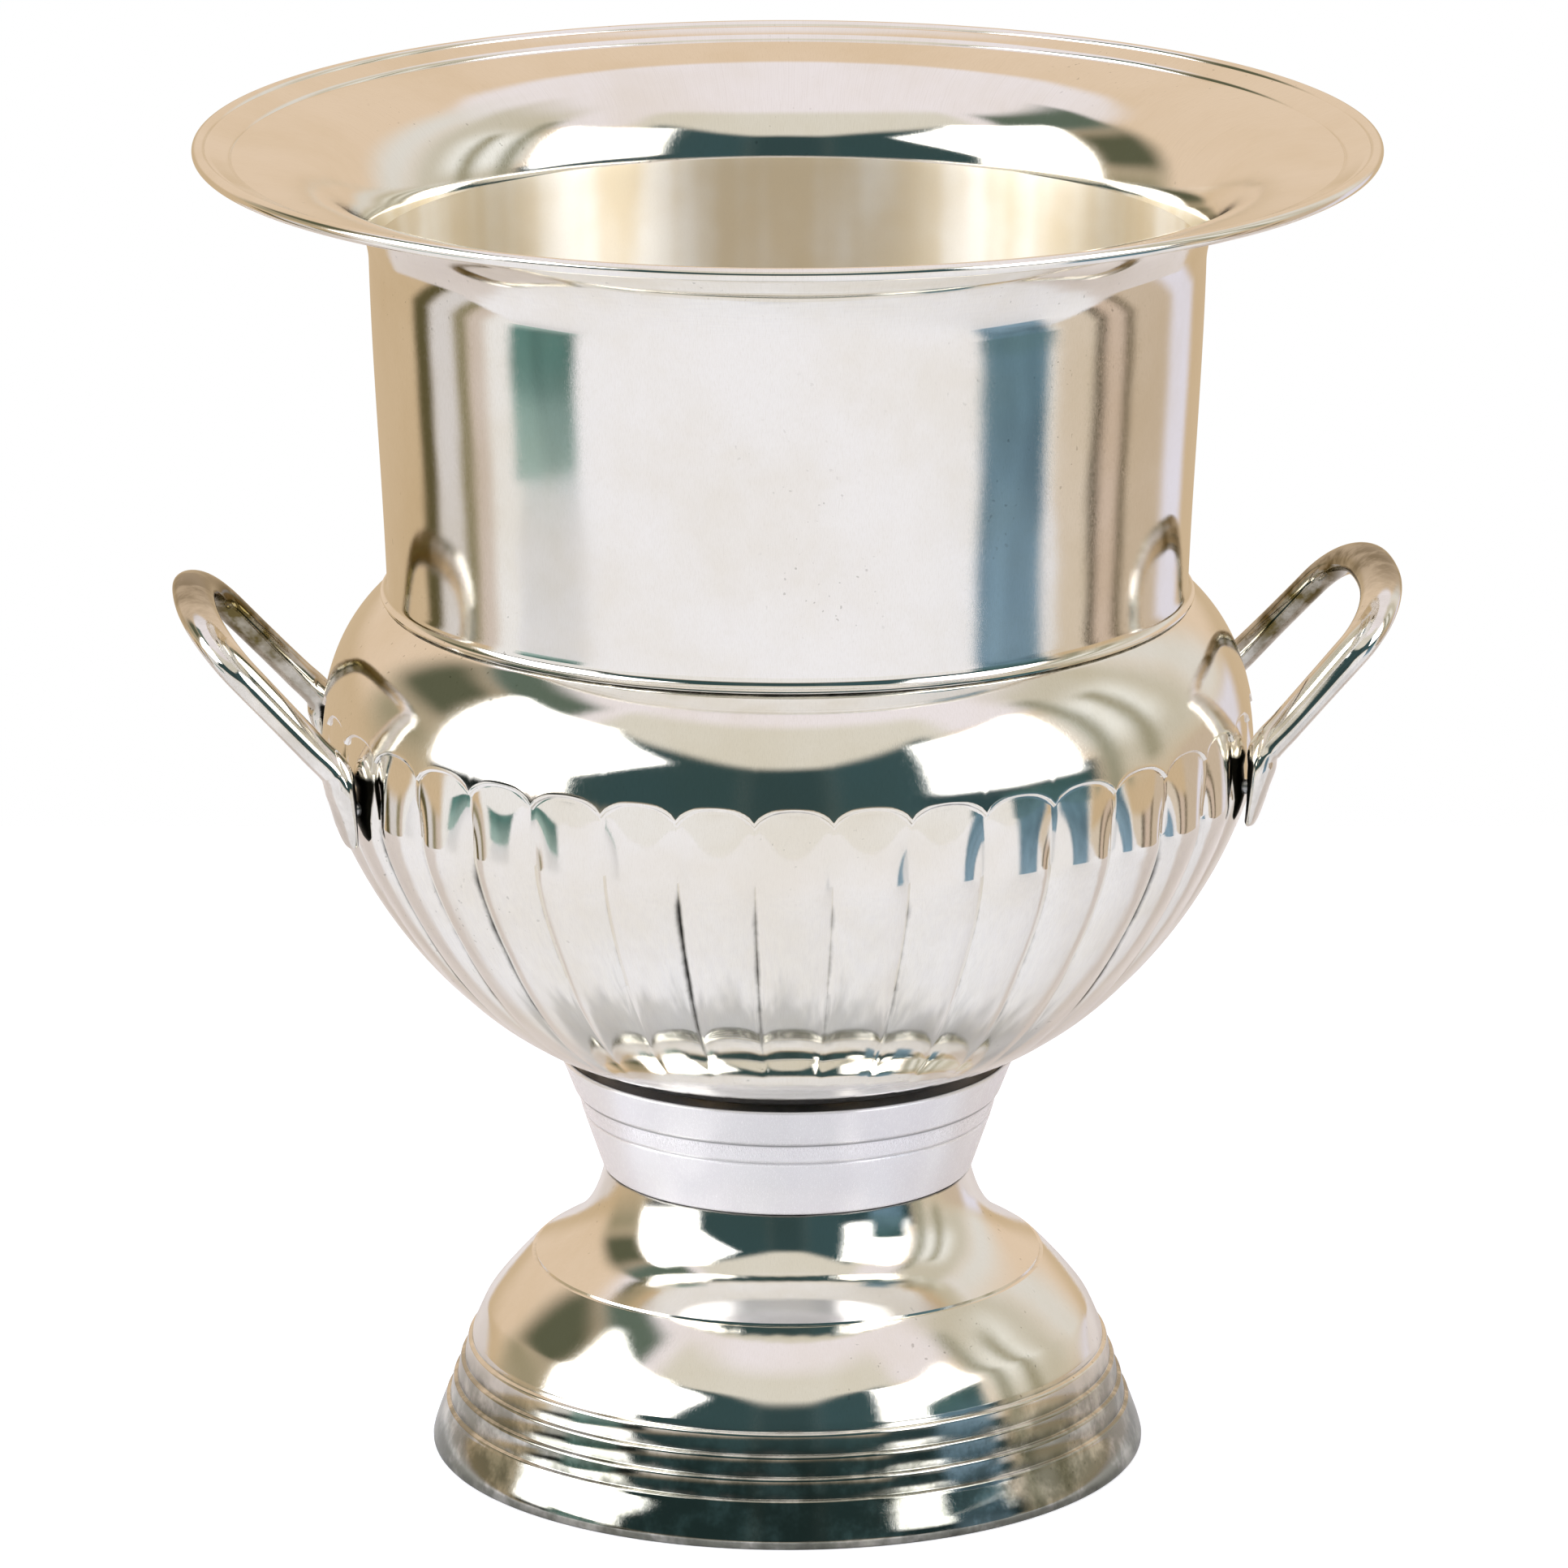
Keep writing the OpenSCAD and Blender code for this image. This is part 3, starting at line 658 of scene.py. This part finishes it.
def make_collar():
    band_z = COLLAR_TOP_Z - 8
    hole_r, wall = STUD_R + 0.3, 1.6
    outer = [(COLLAR_LOW_R - 0.5, FOOT_TOP_Z), (COLLAR_LOW_R + 0.1, FOOT_TOP_Z + 0.5),
             (collar_r(band_z - 4.4) - 0.2, band_z - 4.4), (collar_r(band_z - 3.9) - 0.5, band_z - 3.9),
             (collar_r(band_z - 3.4) - 0.25, band_z - 3.4), (collar_r(band_z) - 0.6, band_z - 0.1),
             (collar_r(band_z) - 0.5, band_z + 0.3), (collar_r(band_z) + 0.1, band_z + 0.7),
             (collar_r(COLLAR_TOP_Z - 2.2), COLLAR_TOP_Z - 2.2), (COLLAR_TOP_R, COLLAR_TOP_Z - 0.4),
             (COLLAR_TOP_R - 0.45, COLLAR_TOP_Z)]
    inner = [(COLLAR_TOP_R - 1.2, COLLAR_TOP_Z - 0.1), (collar_r(WEB_TOP_Z) - wall, WEB_TOP_Z),
             (hole_r, WEB_TOP_Z), (hole_r, WEB_TOP_Z - PLATE_T),
             (collar_r(WEB_TOP_Z - PLATE_T) - wall, WEB_TOP_Z - PLATE_T), (COLLAR_LOW_R - wall, FOOT_TOP_Z)]
    outline = rounded(outer + inner, 0.22)
    mesh = spun_mesh("collar", outline, FINE_COLUMNS)
    radii, heights = np.array(outline).T
    # painted shade and oxide: the seam under the bowl, the step and its groove, and where the collar stands on
    # the foot
    at_seam = (np.clip((COLLAR_TOP_R - 0.5 - radii) / 0.4, 0, 1)
               * np.clip(heights - COLLAR_TOP_Z + 2, 0, 1))
    at_step = np.maximum(0.55 * bump_at(heights, band_z + 0.1, 0.4),
                         0.45 * bump_at(heights, band_z - 3.9, 0.3))
    at_foot = 0.8 * bump_at(heights, FOOT_TOP_Z, 0.3)
    set_shade_and_oxide(mesh, np.repeat(np.maximum.reduce([at_seam, at_step, at_foot]), FINE_COLUMNS))
    finish_piece("collar_cup", mesh, [COLLAR_SATIN], ["collar"])


# four small steps, each one pitch lower and further out than the one above it
REED_TOP_R, REED_TOP_Z, REED_PITCH, REED_OUT, REEDS = 63.6, 21.6, 4.1, 1.5, 4
STEP_R, STEP_Z = 50.3, 39.8
DOME_TOP, DOME_BEND = (36.4, FOOT_TOP_Z), (60.4, 28.6)
# one step: distance along the cone and height above it
REED_SHAPE = [(-0.45, -0.29), (-0.25, -0.27), (-0.12, -0.15), (0, 0.02), (0.12, 0.18), (0.28, 0.27),
              (0.5, 0.285), (0.8, 0.25)]


def foot_outside(reed_shape):
    """Outer face of the foot from its top face down to the standing edge."""
    path = [DOME_TOP] + bezier(DOME_TOP, (38.6, 48.4), (41.2, 44.8), (STEP_R, STEP_Z), 46)
    path += [(STEP_R + 0.15, STEP_Z - 0.45), (STEP_R + 0.4, STEP_Z - 0.5), (STEP_R + 0.85, STEP_Z - 0.55)]
    path += bezier(path[-1], (54.6, 36.1), (59.3, 30.5), DOME_BEND, 26)
    path += bezier(path[-1], (61.2, 27.2), (62.3, 24.6), (REED_TOP_R - 0.55, REED_TOP_Z + 1.1), 14)
    slope = np.array([REED_OUT, -REED_PITCH]) / math.hypot(REED_OUT, REED_PITCH)
    out = np.array([-slope[1], slope[0]])
    for k in range(REEDS):
        middle = np.array([REED_TOP_R + k * REED_OUT, REED_TOP_Z - k * REED_PITCH])
        path += [tuple(middle + along * slope + proud * out) for along, proud in reed_shape]
    last = path[-1]
    path += bezier(last, (last[0] + 0.5, last[1] - 1.4), (FOOT_R - 0.45, 3.6), (FOOT_R, 1.3), 12)
    return path + arc((FOOT_R - 0.8, 0.8), 0.8, 10, -90, 6)


def make_foot():
    outside = foot_outside(REED_SHAPE)
    hole_r = STUD_R + 0.3
    plain = [p for p in foot_outside([(0, 0), (1.4, 0)]) if p[1] > 3.6]
    wall = [p for p in beside(plain[::-1], FOOT_WALL) if p[1] < FOOT_TOP_Z - FOOT_WALL - 0.4]
    hem = [(FOOT_R - 2.6, 0.05), (FOOT_R - 3, 0.5), (FOOT_R - 3.05, 2.2), (FOOT_R - 2.5, 2.9),
           (FOOT_R - 2.1, 3.2)]
    web_z = FOOT_TOP_Z - FOOT_WALL
    top = [(wall[-1][0] - 1.2, web_z), (hole_r, web_z), (hole_r, FOOT_TOP_Z), (34.5, FOOT_TOP_Z)]
    outline = outside + hem + wall + top
    mesh = spun_mesh("foot", outline, FINE_COLUMNS)
    heights = np.array(outline)[:, 1]
    # painted shade and oxide: where the collar stands, in the reeds' corners, at the step, darker towards the
    # standing edge, and a little inside the foot
    shade_and_oxide = 0.7 * bump_at(heights, FOOT_TOP_Z, 0.5)
    for k in range(REEDS):
        corner = REED_TOP_Z - k * REED_PITCH + 0.35
        shade_and_oxide = np.maximum(shade_and_oxide, 0.5 * bump_at(heights, corner, 0.2))
    shade_and_oxide = np.maximum(shade_and_oxide, 0.35 * bump_at(heights, STEP_Z - 0.4, 0.25))
    shade_and_oxide = np.maximum(shade_and_oxide, 0.42 * np.clip((3.4 - heights) / 1.8, 0, 1))
    shade_and_oxide[len(outside):] = 0.15
    set_shade_and_oxide(mesh, np.repeat(shade_and_oxide, FINE_COLUMNS))
    # the reeds and the base band are darker and olive in cloudy patches
    tarnish = np.clip((REED_TOP_Z + 2 - heights) / 10, 0, 0.74)
    set_marks(mesh, "tarnish", np.repeat(tarnish, FINE_COLUMNS))
    finish_piece("domed_foot", mesh, [SILVER], ["foot_shell"])


# ---------------------------------------------------------------- hardware

def thread_grid(radius, pitch, depth, low, high, sides, per_turn):
    """Points of a helical thread; the radius moves with height and turn together."""
    heights = np.linspace(low, high, int((high - low) / pitch * per_turn) + 1)
    turn = np.arange(sides) / sides
    phase = (heights[:, None] / pitch - turn[None, :]) % 1
    fade = np.clip(np.minimum(heights - low, high - heights) / pitch, 0, 1)[:, None]
    r = radius - depth * fade * (0.5 + 0.5 * np.cos(TAU * phase))
    angles = turn * TAU
    return np.stack([r * np.cos(angles), r * np.sin(angles), heights[:, None] + 0 * r], -1)


def capped(points, columns):
    """Faces of an open grid with both ends closed by flat rings of triangles."""
    rows = len(points)
    faces = grid_faces(rows, columns, False, True)
    flat = points.reshape(-1, 3)
    centres = [points[0].mean(0), points[-1].mean(0)]
    first, last = rows * columns, rows * columns + 1
    for j in range(columns):
        k = (j + 1) % columns
        faces.append([first, k, j])
        faces.append([last, (rows - 1) * columns + j, (rows - 1) * columns + k])
    return np.concatenate([flat, centres]), faces


def make_stud():
    """Stud with a turned thread and a narrower tip."""
    low, high, sides = 44.0, FLOOR_Z, 40
    body = thread_grid(STUD_R, 1.0, 0.42, low + 0.8, high - 0.3, sides, 8)
    angles = np.arange(sides) / sides * TAU
    ring = np.stack([np.cos(angles), np.sin(angles), 0 * angles], -1)
    tip = ring * [STUD_R - 0.7, STUD_R - 0.7, 0] + [0, 0, low]
    top = ring * [STUD_R - 0.3, STUD_R - 0.3, 0] + [0, 0, high]
    points, faces = capped(np.concatenate([[tip], body, [top]]), sides)
    mesh = mesh_from("stud", points, faces)
    finish_piece("threaded_stud", mesh, [STEEL], ["centre_stud"])


def make_nut():
    """Hexagon nut with both faces chamfered and a thread in its bore."""
    high = FOOT_TOP_Z - FOOT_WALL - PLATE_T - 1.5
    low, flats, sides = high - 5.0, 5.0, 120
    angles = np.arange(sides) / sides * TAU
    hexagon = flats / np.cos((angles % (TAU / 6)) - TAU / 12)
    face_r = flats - 0.25
    drop = (hexagon - face_r) * math.tan(math.radians(30))

    def ring(radius, height):
        return np.stack([radius * np.cos(angles), radius * np.sin(angles), height + 0 * angles], -1)

    bore = thread_grid(STUD_R + 0.02, 1.0, 0.3, low + 0.5, high - 0.5, sides, 8)[::-1]
    rows = [ring(STUD_R + 0.4, low), ring(face_r, low), ring(hexagon, low + drop),
            ring(hexagon, (low + high) / 2), ring(hexagon, high - drop), ring(face_r, high),
            ring(STUD_R + 0.4, high)]
    points = np.concatenate([rows, bore])
    mesh = mesh_from("nut", points, grid_faces(len(points), sides, True, True))
    finish_piece("chamfered_nut", mesh, [STEEL], ["hex_nut"], sharp=25)


def make_lock_washer():
    """Split spring washer: its two ends stand a little apart in height."""
    high = FOOT_TOP_Z - FOOT_WALL - PLATE_T
    low = high - 1.5
    outline = rounded([(STUD_R + 0.2, low), (STUD_R + 2.7, low + 0.05), (STUD_R + 2.7, high - 0.25),
                       (STUD_R + 0.2, high - 0.2)], 0.2)
    steps = 90
    angles = np.radians(np.linspace(4, 356, steps))
    section = np.array(outline)
    points = np.array([[(r * math.cos(a), r * math.sin(a), z + 0.2 * a / TAU) for r, z in section]
                       for a in angles])
    points, faces = capped(points[::-1], len(section))
    mesh = mesh_from("washer", points, faces)
    finish_piece("spring_washer", mesh, [STEEL], ["lock_washer"])


def make_plates():
    """Stud plate, and the clamp plate pressed with one ridge."""
    low = WEB_TOP_Z
    stud_plate = rounded([(STUD_R, low), (25.4, low), (26, low + 0.6), (26, FLOOR_Z), (STUD_R, FLOOR_Z)], 0.25)
    mesh = spun_mesh("stud_plate", stud_plate, 144)
    finish_piece("stud_plate_disc", mesh, [BRASS], ["stud_plate"])
    high = FOOT_TOP_Z - FOOT_WALL
    low = high - PLATE_T
    clamp = rounded([(STUD_R + 0.3, low), (9, low), (10.5, low + 0.5), (18, low + 0.5), (19.5, low),
                     (23.4, low), (24, low + 0.6), (24, high), (STUD_R + 0.3, high)], 0.3)
    mesh = spun_mesh("clamp_plate", clamp, 144)
    finish_piece("clamp_plate_disc", mesh, [BRASS], ["clamp_plate"])


def at_feet(points):
    """Copies of a shape made along +X, one at each of the four handle feet."""
    copies = []
    for turn in (-FOOT_ANGLE, FOOT_ANGLE, TAU / 2 - FOOT_ANGLE, TAU / 2 + FOOT_ANGLE):
        cos, sin = math.cos(turn), math.sin(turn)
        copies.append(points @ np.array([[cos, sin, 0], [-sin, cos, 0], [0, 0, 1]]))
    return copies


def make_screws_and_washers():
    """Cross-recessed pan-head screws inside the bowl, with a flat washer under each head."""
    screw_z, screw_r, head_t, washer_t = 141.0, 1.5, 2.0, 0.8
    face = -BOWL_WALL - 0.55
    sides = 48
    under = face - washer_t
    top = under - head_t
    angles = np.arange(sides) / sides * TAU
    # distance from the middle of the head, and depth along the screw from the belly
    profile = [(0.9, top + 1.0), (1.0, top + 0.1), (1.4, top), (2.2, top + 0.2), (2.75, top + 0.7),
               (3.0, top + 1.3), (3.0, under - 0.1), (2.9, under), (screw_r, under), (screw_r, face),
               (screw_r, 1.6), (1.1, 2.0)]
    cross = 0.5 + 0.5 * np.cos(4 * angles)
    rows = []
    for k, (radius, depth) in enumerate(profile):
        reach = radius * (0.45 + 0.75 * cross ** 1.5) if k < 2 else radius + 0 * angles
        rows.append(np.stack([BELLY_R + depth + 0 * angles, reach * np.cos(angles),
                              screw_z + reach * np.sin(angles)], -1))
    screw, faces = capped(np.array(rows)[::-1], sides)
    copies = at_feet(screw)
    all_faces = [[v + k * len(screw) for v in f] for k in range(4) for f in faces]
    finish_piece("handle_screw_set", mesh_from("screws", np.concatenate(copies), all_faces),
                 [STEEL], ["handle_screws"])
    outline = rounded([(screw_r + 0.15, under), (screw_r + 2.3, under), (screw_r + 2.3, face),
                       (screw_r + 0.15, face)], 0.18)
    ring = np.array([[(BELLY_R + d, r * math.cos(a), screw_z + r * math.sin(a)) for a in angles]
                     for r, d in outline])
    faces = grid_faces(len(ring), sides, True, True)
    copies = at_feet(ring.reshape(-1, 3))
    all_faces = [[v + k * ring.size // 3 for v in f] for k in range(4) for f in faces]
    finish_piece("screw_washer_set", mesh_from("washers", np.concatenate(copies), all_faces),
                 [STEEL], ["screw_washers"])


make_neck()
make_bowl()
make_handle("right_loop_handle", 1, "handle_right")
make_handle("left_loop_handle", -1, "handle_left")
make_collar()
make_foot()
make_stud()
make_nut()
make_lock_washer()
make_plates()
make_screws_and_washers()
for hidden_wire in ("rim_wire", "foot_edge_wire"):
    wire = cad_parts[hidden_wire]
    wire.data.materials.clear()
    wire.data.materials.append(BRASS)


# ---------------------------------------------------------------- camera

VIEW_TURN = math.radians(5.5)
VIEW_RISE = math.radians(15.4)
VIEW_DISTANCE = 2.219
LENS, SENSOR = 257.4, 36.0
TOWARD = Vector((-math.sin(VIEW_TURN), -math.cos(VIEW_TURN), 0))
RIGHT = Vector((math.cos(VIEW_TURN), -math.sin(VIEW_TURN), 0))


AIM_ABOVE_MIDDLE, AIM_LEFT = 0.0025, 0.0007


def make_camera():
    """The photograph's view: a long lens, a little above the rim."""
    aim = (cad_low + cad_high) / 2 + Vector((0, 0, AIM_ABOVE_MIDDLE)) - AIM_LEFT * RIGHT
    back = TOWARD * math.cos(VIEW_RISE) + Vector((0, 0, math.sin(VIEW_RISE)))
    data = bpy.data.cameras.new("camera")
    data.lens, data.sensor_width = LENS, SENSOR
    camera = bpy.data.objects.new("camera", data)
    camera.location = aim + VIEW_DISTANCE * back
    camera.rotation_mode = "QUATERNION"
    camera.rotation_quaternion = (-back).to_track_quat("-Z", "Y")
    bpy.context.scene.collection.objects.link(camera)
    bpy.context.scene.camera = camera


# ---------------------------------------------------------------- studio

# Areas of the studio that the silver mirrors: azimuth from and to (0 is the side that the camera is on,
# + is to its right), elevation from and to, softness of the edges, and colour. A limit of elevation that is
# a pair runs in a slope from the left to the right end
STUDIO = [
    ((-200, 200), (-100, 4), 6, (206, 182, 150)),
    ((-200, 200), (45, 100), 3, (240, 233, 237)),
    ((-128, -98), (16, 42), 7, (92, 94, 74)),
    ((-128, -98), (0, 16), 8, (160, 150, 124)),
    ((-98, -78), (0, 50), 6, (208, 203, 186)),
    ((84, 128), (0, 58), 8, (205, 198, 182)),
    ((80, 112), (14, 40), 7, (244, 243, 238)),
    ((126, 146), (0, 50), 9, (226, 222, 216)),
    # what stands low beside the table: thin upright stripes in the sides of the neck
    ((-126, -117), (-60, -11), 1.5, (92, 84, 56)),
    ((-117, -105), (-60, -11), 1.5, (216, 211, 210)),
    ((-105, -99), (-60, -11), 1.5, (140, 132, 104)),
    ((-99, -92), (-60, -11), 1.5, (208, 194, 184)),
    ((78, 95), (-60, -11), 1.0, (216, 202, 186)),
    ((95, 98.5), (-60, -11), 0.8, (48, 46, 32)),
    ((98.5, 107.5), (-60, -11), 0.8, (206, 186, 170)),
    ((107.5, 111), (-60, -11), 0.8, (84, 76, 56)),
    ((111, 132), (-60, 0), 1.5, (202, 184, 164)),
    ((132, 149), (-60, 0), 3.0, (228, 224, 236)),
    ((84, 90), (-4, 50), 2.5, (150, 148, 128)),
    ((99, 105), (2, 40), 2.5, (156, 150, 126)),
    # the light front of the table, and over it the dark room between two softboxes
    ((-92, 80), (-100, 4), 2.0, (238, 236, 236)),
    ((-124, -74), (43, 56), 3, (96, 110, 98)),
    ((-64, 52), (26, 60), 4, (222, 217, 206)),
    ((-97, -50), (1.2, 5), 0.8, (24, 32, 30)),
    ((-12, 12), (5, 31), 2.5, (52, 72, 74)),
    ((-60, -10), (5, (47, 31)), 2.5, (54, 76, 78)),
    ((10, 44), (5, (31, 47)), 2.5, (58, 82, 86)),
    ((-97, -57), ((3.6, 6.5), 46), 1.6, (255, 255, 255)),
    ((-59, -33), ((13, 30), (47, 31)), 1.2, (255, 255, 255)),
    ((34, 82), (2.5, 12), 1.5, (50, 72, 76)),
    ((37, 77), ((12, 9), (41, 46)), 1.6, (255, 255, 255)),
]
WALL_BEHIND = (228, 205, 180)
# the areas of this colour are softboxes, and shine brighter than white
SOFTBOX = (255, 255, 255)
SOFTBOX_LIGHT = 4.2


def make_world():
    """White to the camera; to the silver, a studio of soft areas."""
    world = bpy.data.worlds.new("studio")
    bpy.context.scene.world = world
    world.use_nodes = True
    graph = Graph(world.node_tree)
    direction = graph.add("ShaderNodeTexCoord").outputs["Generated"]
    facing = graph.add("ShaderNodeVectorRotate", {"Vector": direction, "Angle": VIEW_TURN},
                       rotation_type="Z_AXIS").outputs[0]
    parts = graph.add("ShaderNodeSeparateXYZ", {0: facing}).outputs
    degrees = 180 / math.pi
    azimuth = graph.times(graph.math("ARCTAN2", parts[0], graph.times(parts[1], -1)), degrees)
    elevation = graph.times(graph.math("ARCSINE", parts[2]), degrees)
    colour = linear(*WALL_BEHIND)
    for sideways, upward, soft, shade in STUDIO:
        above = []
        for limit in upward:
            if isinstance(limit, tuple):
                slope = (limit[1] - limit[0]) / (sideways[1] - sideways[0])
                limit = graph.plus(graph.times(graph.plus(azimuth, -sideways[0]), slope), limit[0])
                above.append(graph.plus(elevation, graph.times(limit, -1)))
            else:
                above.append(graph.plus(elevation, -limit))
        share = graph.times(
            graph.times(graph.step(azimuth, sideways[0] - soft, sideways[0] + soft),
                        graph.step(azimuth, sideways[1] - soft, sideways[1] + soft, 1.0, 0.0)),
            graph.times(graph.step(above[0], -soft, soft), graph.step(above[1], -soft, soft, 1.0, 0.0)))
        light = SOFTBOX_LIGHT if shade == SOFTBOX else 1.0
        colour = graph.mix(share, colour, tuple(light * v for v in linear(*shade)[:3]) + (1.0,))
    studio = graph.add("ShaderNodeBackground", {"Color": colour, "Strength": 1.0}).outputs[0]
    plain = graph.add("ShaderNodeBackground", {"Color": (1, 1, 1, 1), "Strength": 1.0}).outputs[0]
    seen = graph.add("ShaderNodeLightPath").outputs["Is Camera Ray"]
    shader = graph.add("ShaderNodeMixShader", {0: seen, 1: studio, 2: plain}).outputs[0]
    graph.add("ShaderNodeOutputWorld", {"Surface": shader})


def add_stage(name, corners, material, seen_by_camera):
    """A flat sheet of the studio, from corners in metres."""
    mesh = bpy.data.meshes.new(name)
    mesh.from_pydata([tuple(c) for c in corners], [], [list(range(len(corners)))])
    mesh.materials.append(material)
    sheet = bpy.data.objects.new(name, mesh)
    bpy.context.scene.collection.objects.link(sheet)
    sheet.visible_camera = seen_by_camera
    return sheet


def make_fill_light():
    """A soft lamp in front and above that shines into the bucket; the polished silver doesn't show it."""
    lamp = bpy.data.lights.new("fill_light", "SPOT")
    lamp.energy, lamp.shadow_soft_size = 60.0, 0.12
    lamp.spot_size, lamp.spot_blend = math.radians(13), 0.6
    light = bpy.data.objects.new("fill_light", lamp)
    aim = Vector((0, 0, 0.235))
    light.location = aim + 0.66 * TOWARD - 0.1 * RIGHT + Vector((0, 0, 0.66))
    light.rotation_mode = "QUATERNION"
    light.rotation_quaternion = (aim - light.location).to_track_quat("-Z", "Y")
    light.visible_glossy = False
    bpy.context.scene.collection.objects.link(light)


def on_floor(azimuth, distance, height=0.0):
    """A point given by its direction as the camera sees the studio."""
    a = math.radians(azimuth)
    return TOWARD * distance * math.cos(a) + RIGHT * distance * math.sin(a) + Vector((0, 0, height))


def make_floor():
    """Pale floor: as bright as white to the camera, so only a soft contact shadow shows on it. To the silver
    it is white in front and tan behind, as if the light cloth ended there, with a painted contact shadow round
    the foot."""
    material, graph = new_material("pale_floor")
    place = graph.add("ShaderNodeTexCoord").outputs["Object"]
    grain = graph.noise(place, 60.0, 3.0, 0.5)
    colour = graph.mix(graph.step(grain, 0.3, 0.7), linear(200, 202, 208), linear(194, 196, 204))
    forward = graph.add("ShaderNodeVectorMath", {0: place, 1: tuple(TOWARD)},
                        operation="DOT_PRODUCT").outputs["Value"]
    cloudy = graph.times(graph.math("SUBTRACT", graph.noise(place, 9.0, 4.0, 0.6), 0.5), 0.12)
    front = graph.step(graph.plus(forward, cloudy), -0.05, 0.005)
    mirrored = graph.mix(front, linear(180, 146, 102), linear(250, 250, 254))
    # painted shadow: a dark olive ring round the foot that only the silver sees
    reach = graph.add("ShaderNodeVectorMath", {0: place}, operation="LENGTH").outputs["Value"]
    mirrored = graph.mix(graph.step(graph.plus(reach, cloudy), 0.084, 0.108), linear(84, 84, 66), mirrored)
    seen = graph.add("ShaderNodeLightPath").outputs["Is Camera Ray"]
    shader = graph.add("ShaderNodeBsdfPrincipled", {
        "Base Color": colour, "Roughness": 0.9, "Specular IOR Level": 0.0,
        "Emission Color": graph.mix(seen, mirrored, linear(253, 253, 255)),
        "Emission Strength": graph.step(seen, 0.0, 1.0, 0.30, 0.72)})
    graph.add("ShaderNodeOutputMaterial", {"Surface": shader.outputs[0]})
    corners = [on_floor(a, d) for a, d in ((-55, 1.7), (55, 1.7), (103, 0.43), (137, 0.62), (-137, 0.62),
                                           (-103, 0.43))]
    add_stage("floor", corners, material, True)


def make_card(name, azimuths, distance, heights, low_shade, high_shade):
    """A standing card that only the silver sees, shaded from its foot to its top."""
    material, graph = new_material(name)
    place = graph.add("ShaderNodeTexCoord").outputs["Object"]
    height = graph.add("ShaderNodeSeparateXYZ", {0: place}).outputs[2]
    cloudy = graph.step(graph.noise(place, 14.0, 4.0, 0.65), 0.3, 0.7, 0.75, 1.25)
    shade = graph.mix(graph.step(height, *heights), linear(*low_shade), linear(*high_shade))
    glow = graph.add("ShaderNodeEmission", {"Color": shade, "Strength": cloudy}).outputs[0]
    graph.add("ShaderNodeOutputMaterial", {"Surface": glow})
    first, last = azimuths
    low, high = heights
    corners = [on_floor(first, distance, low), on_floor(last, distance, low),
               on_floor(last, distance, high), on_floor(first, distance, high)]
    add_stage(name, corners, material, False)


make_camera()
make_world()
make_fill_light()
make_floor()
make_card("right_low_card", (51, 71.5), 0.5, (0.001, 0.12), (126, 152, 172), (96, 124, 140))
make_card("right_high_card", (49, 73), 0.5, (0.12, 0.215), (90, 118, 128), (62, 92, 92))
make_card("left_card", (-78, -57.5), 0.7, (0.001, 0.078), (150, 172, 168), (84, 122, 116))
bpy.context.scene.view_settings.view_transform = "Standard"
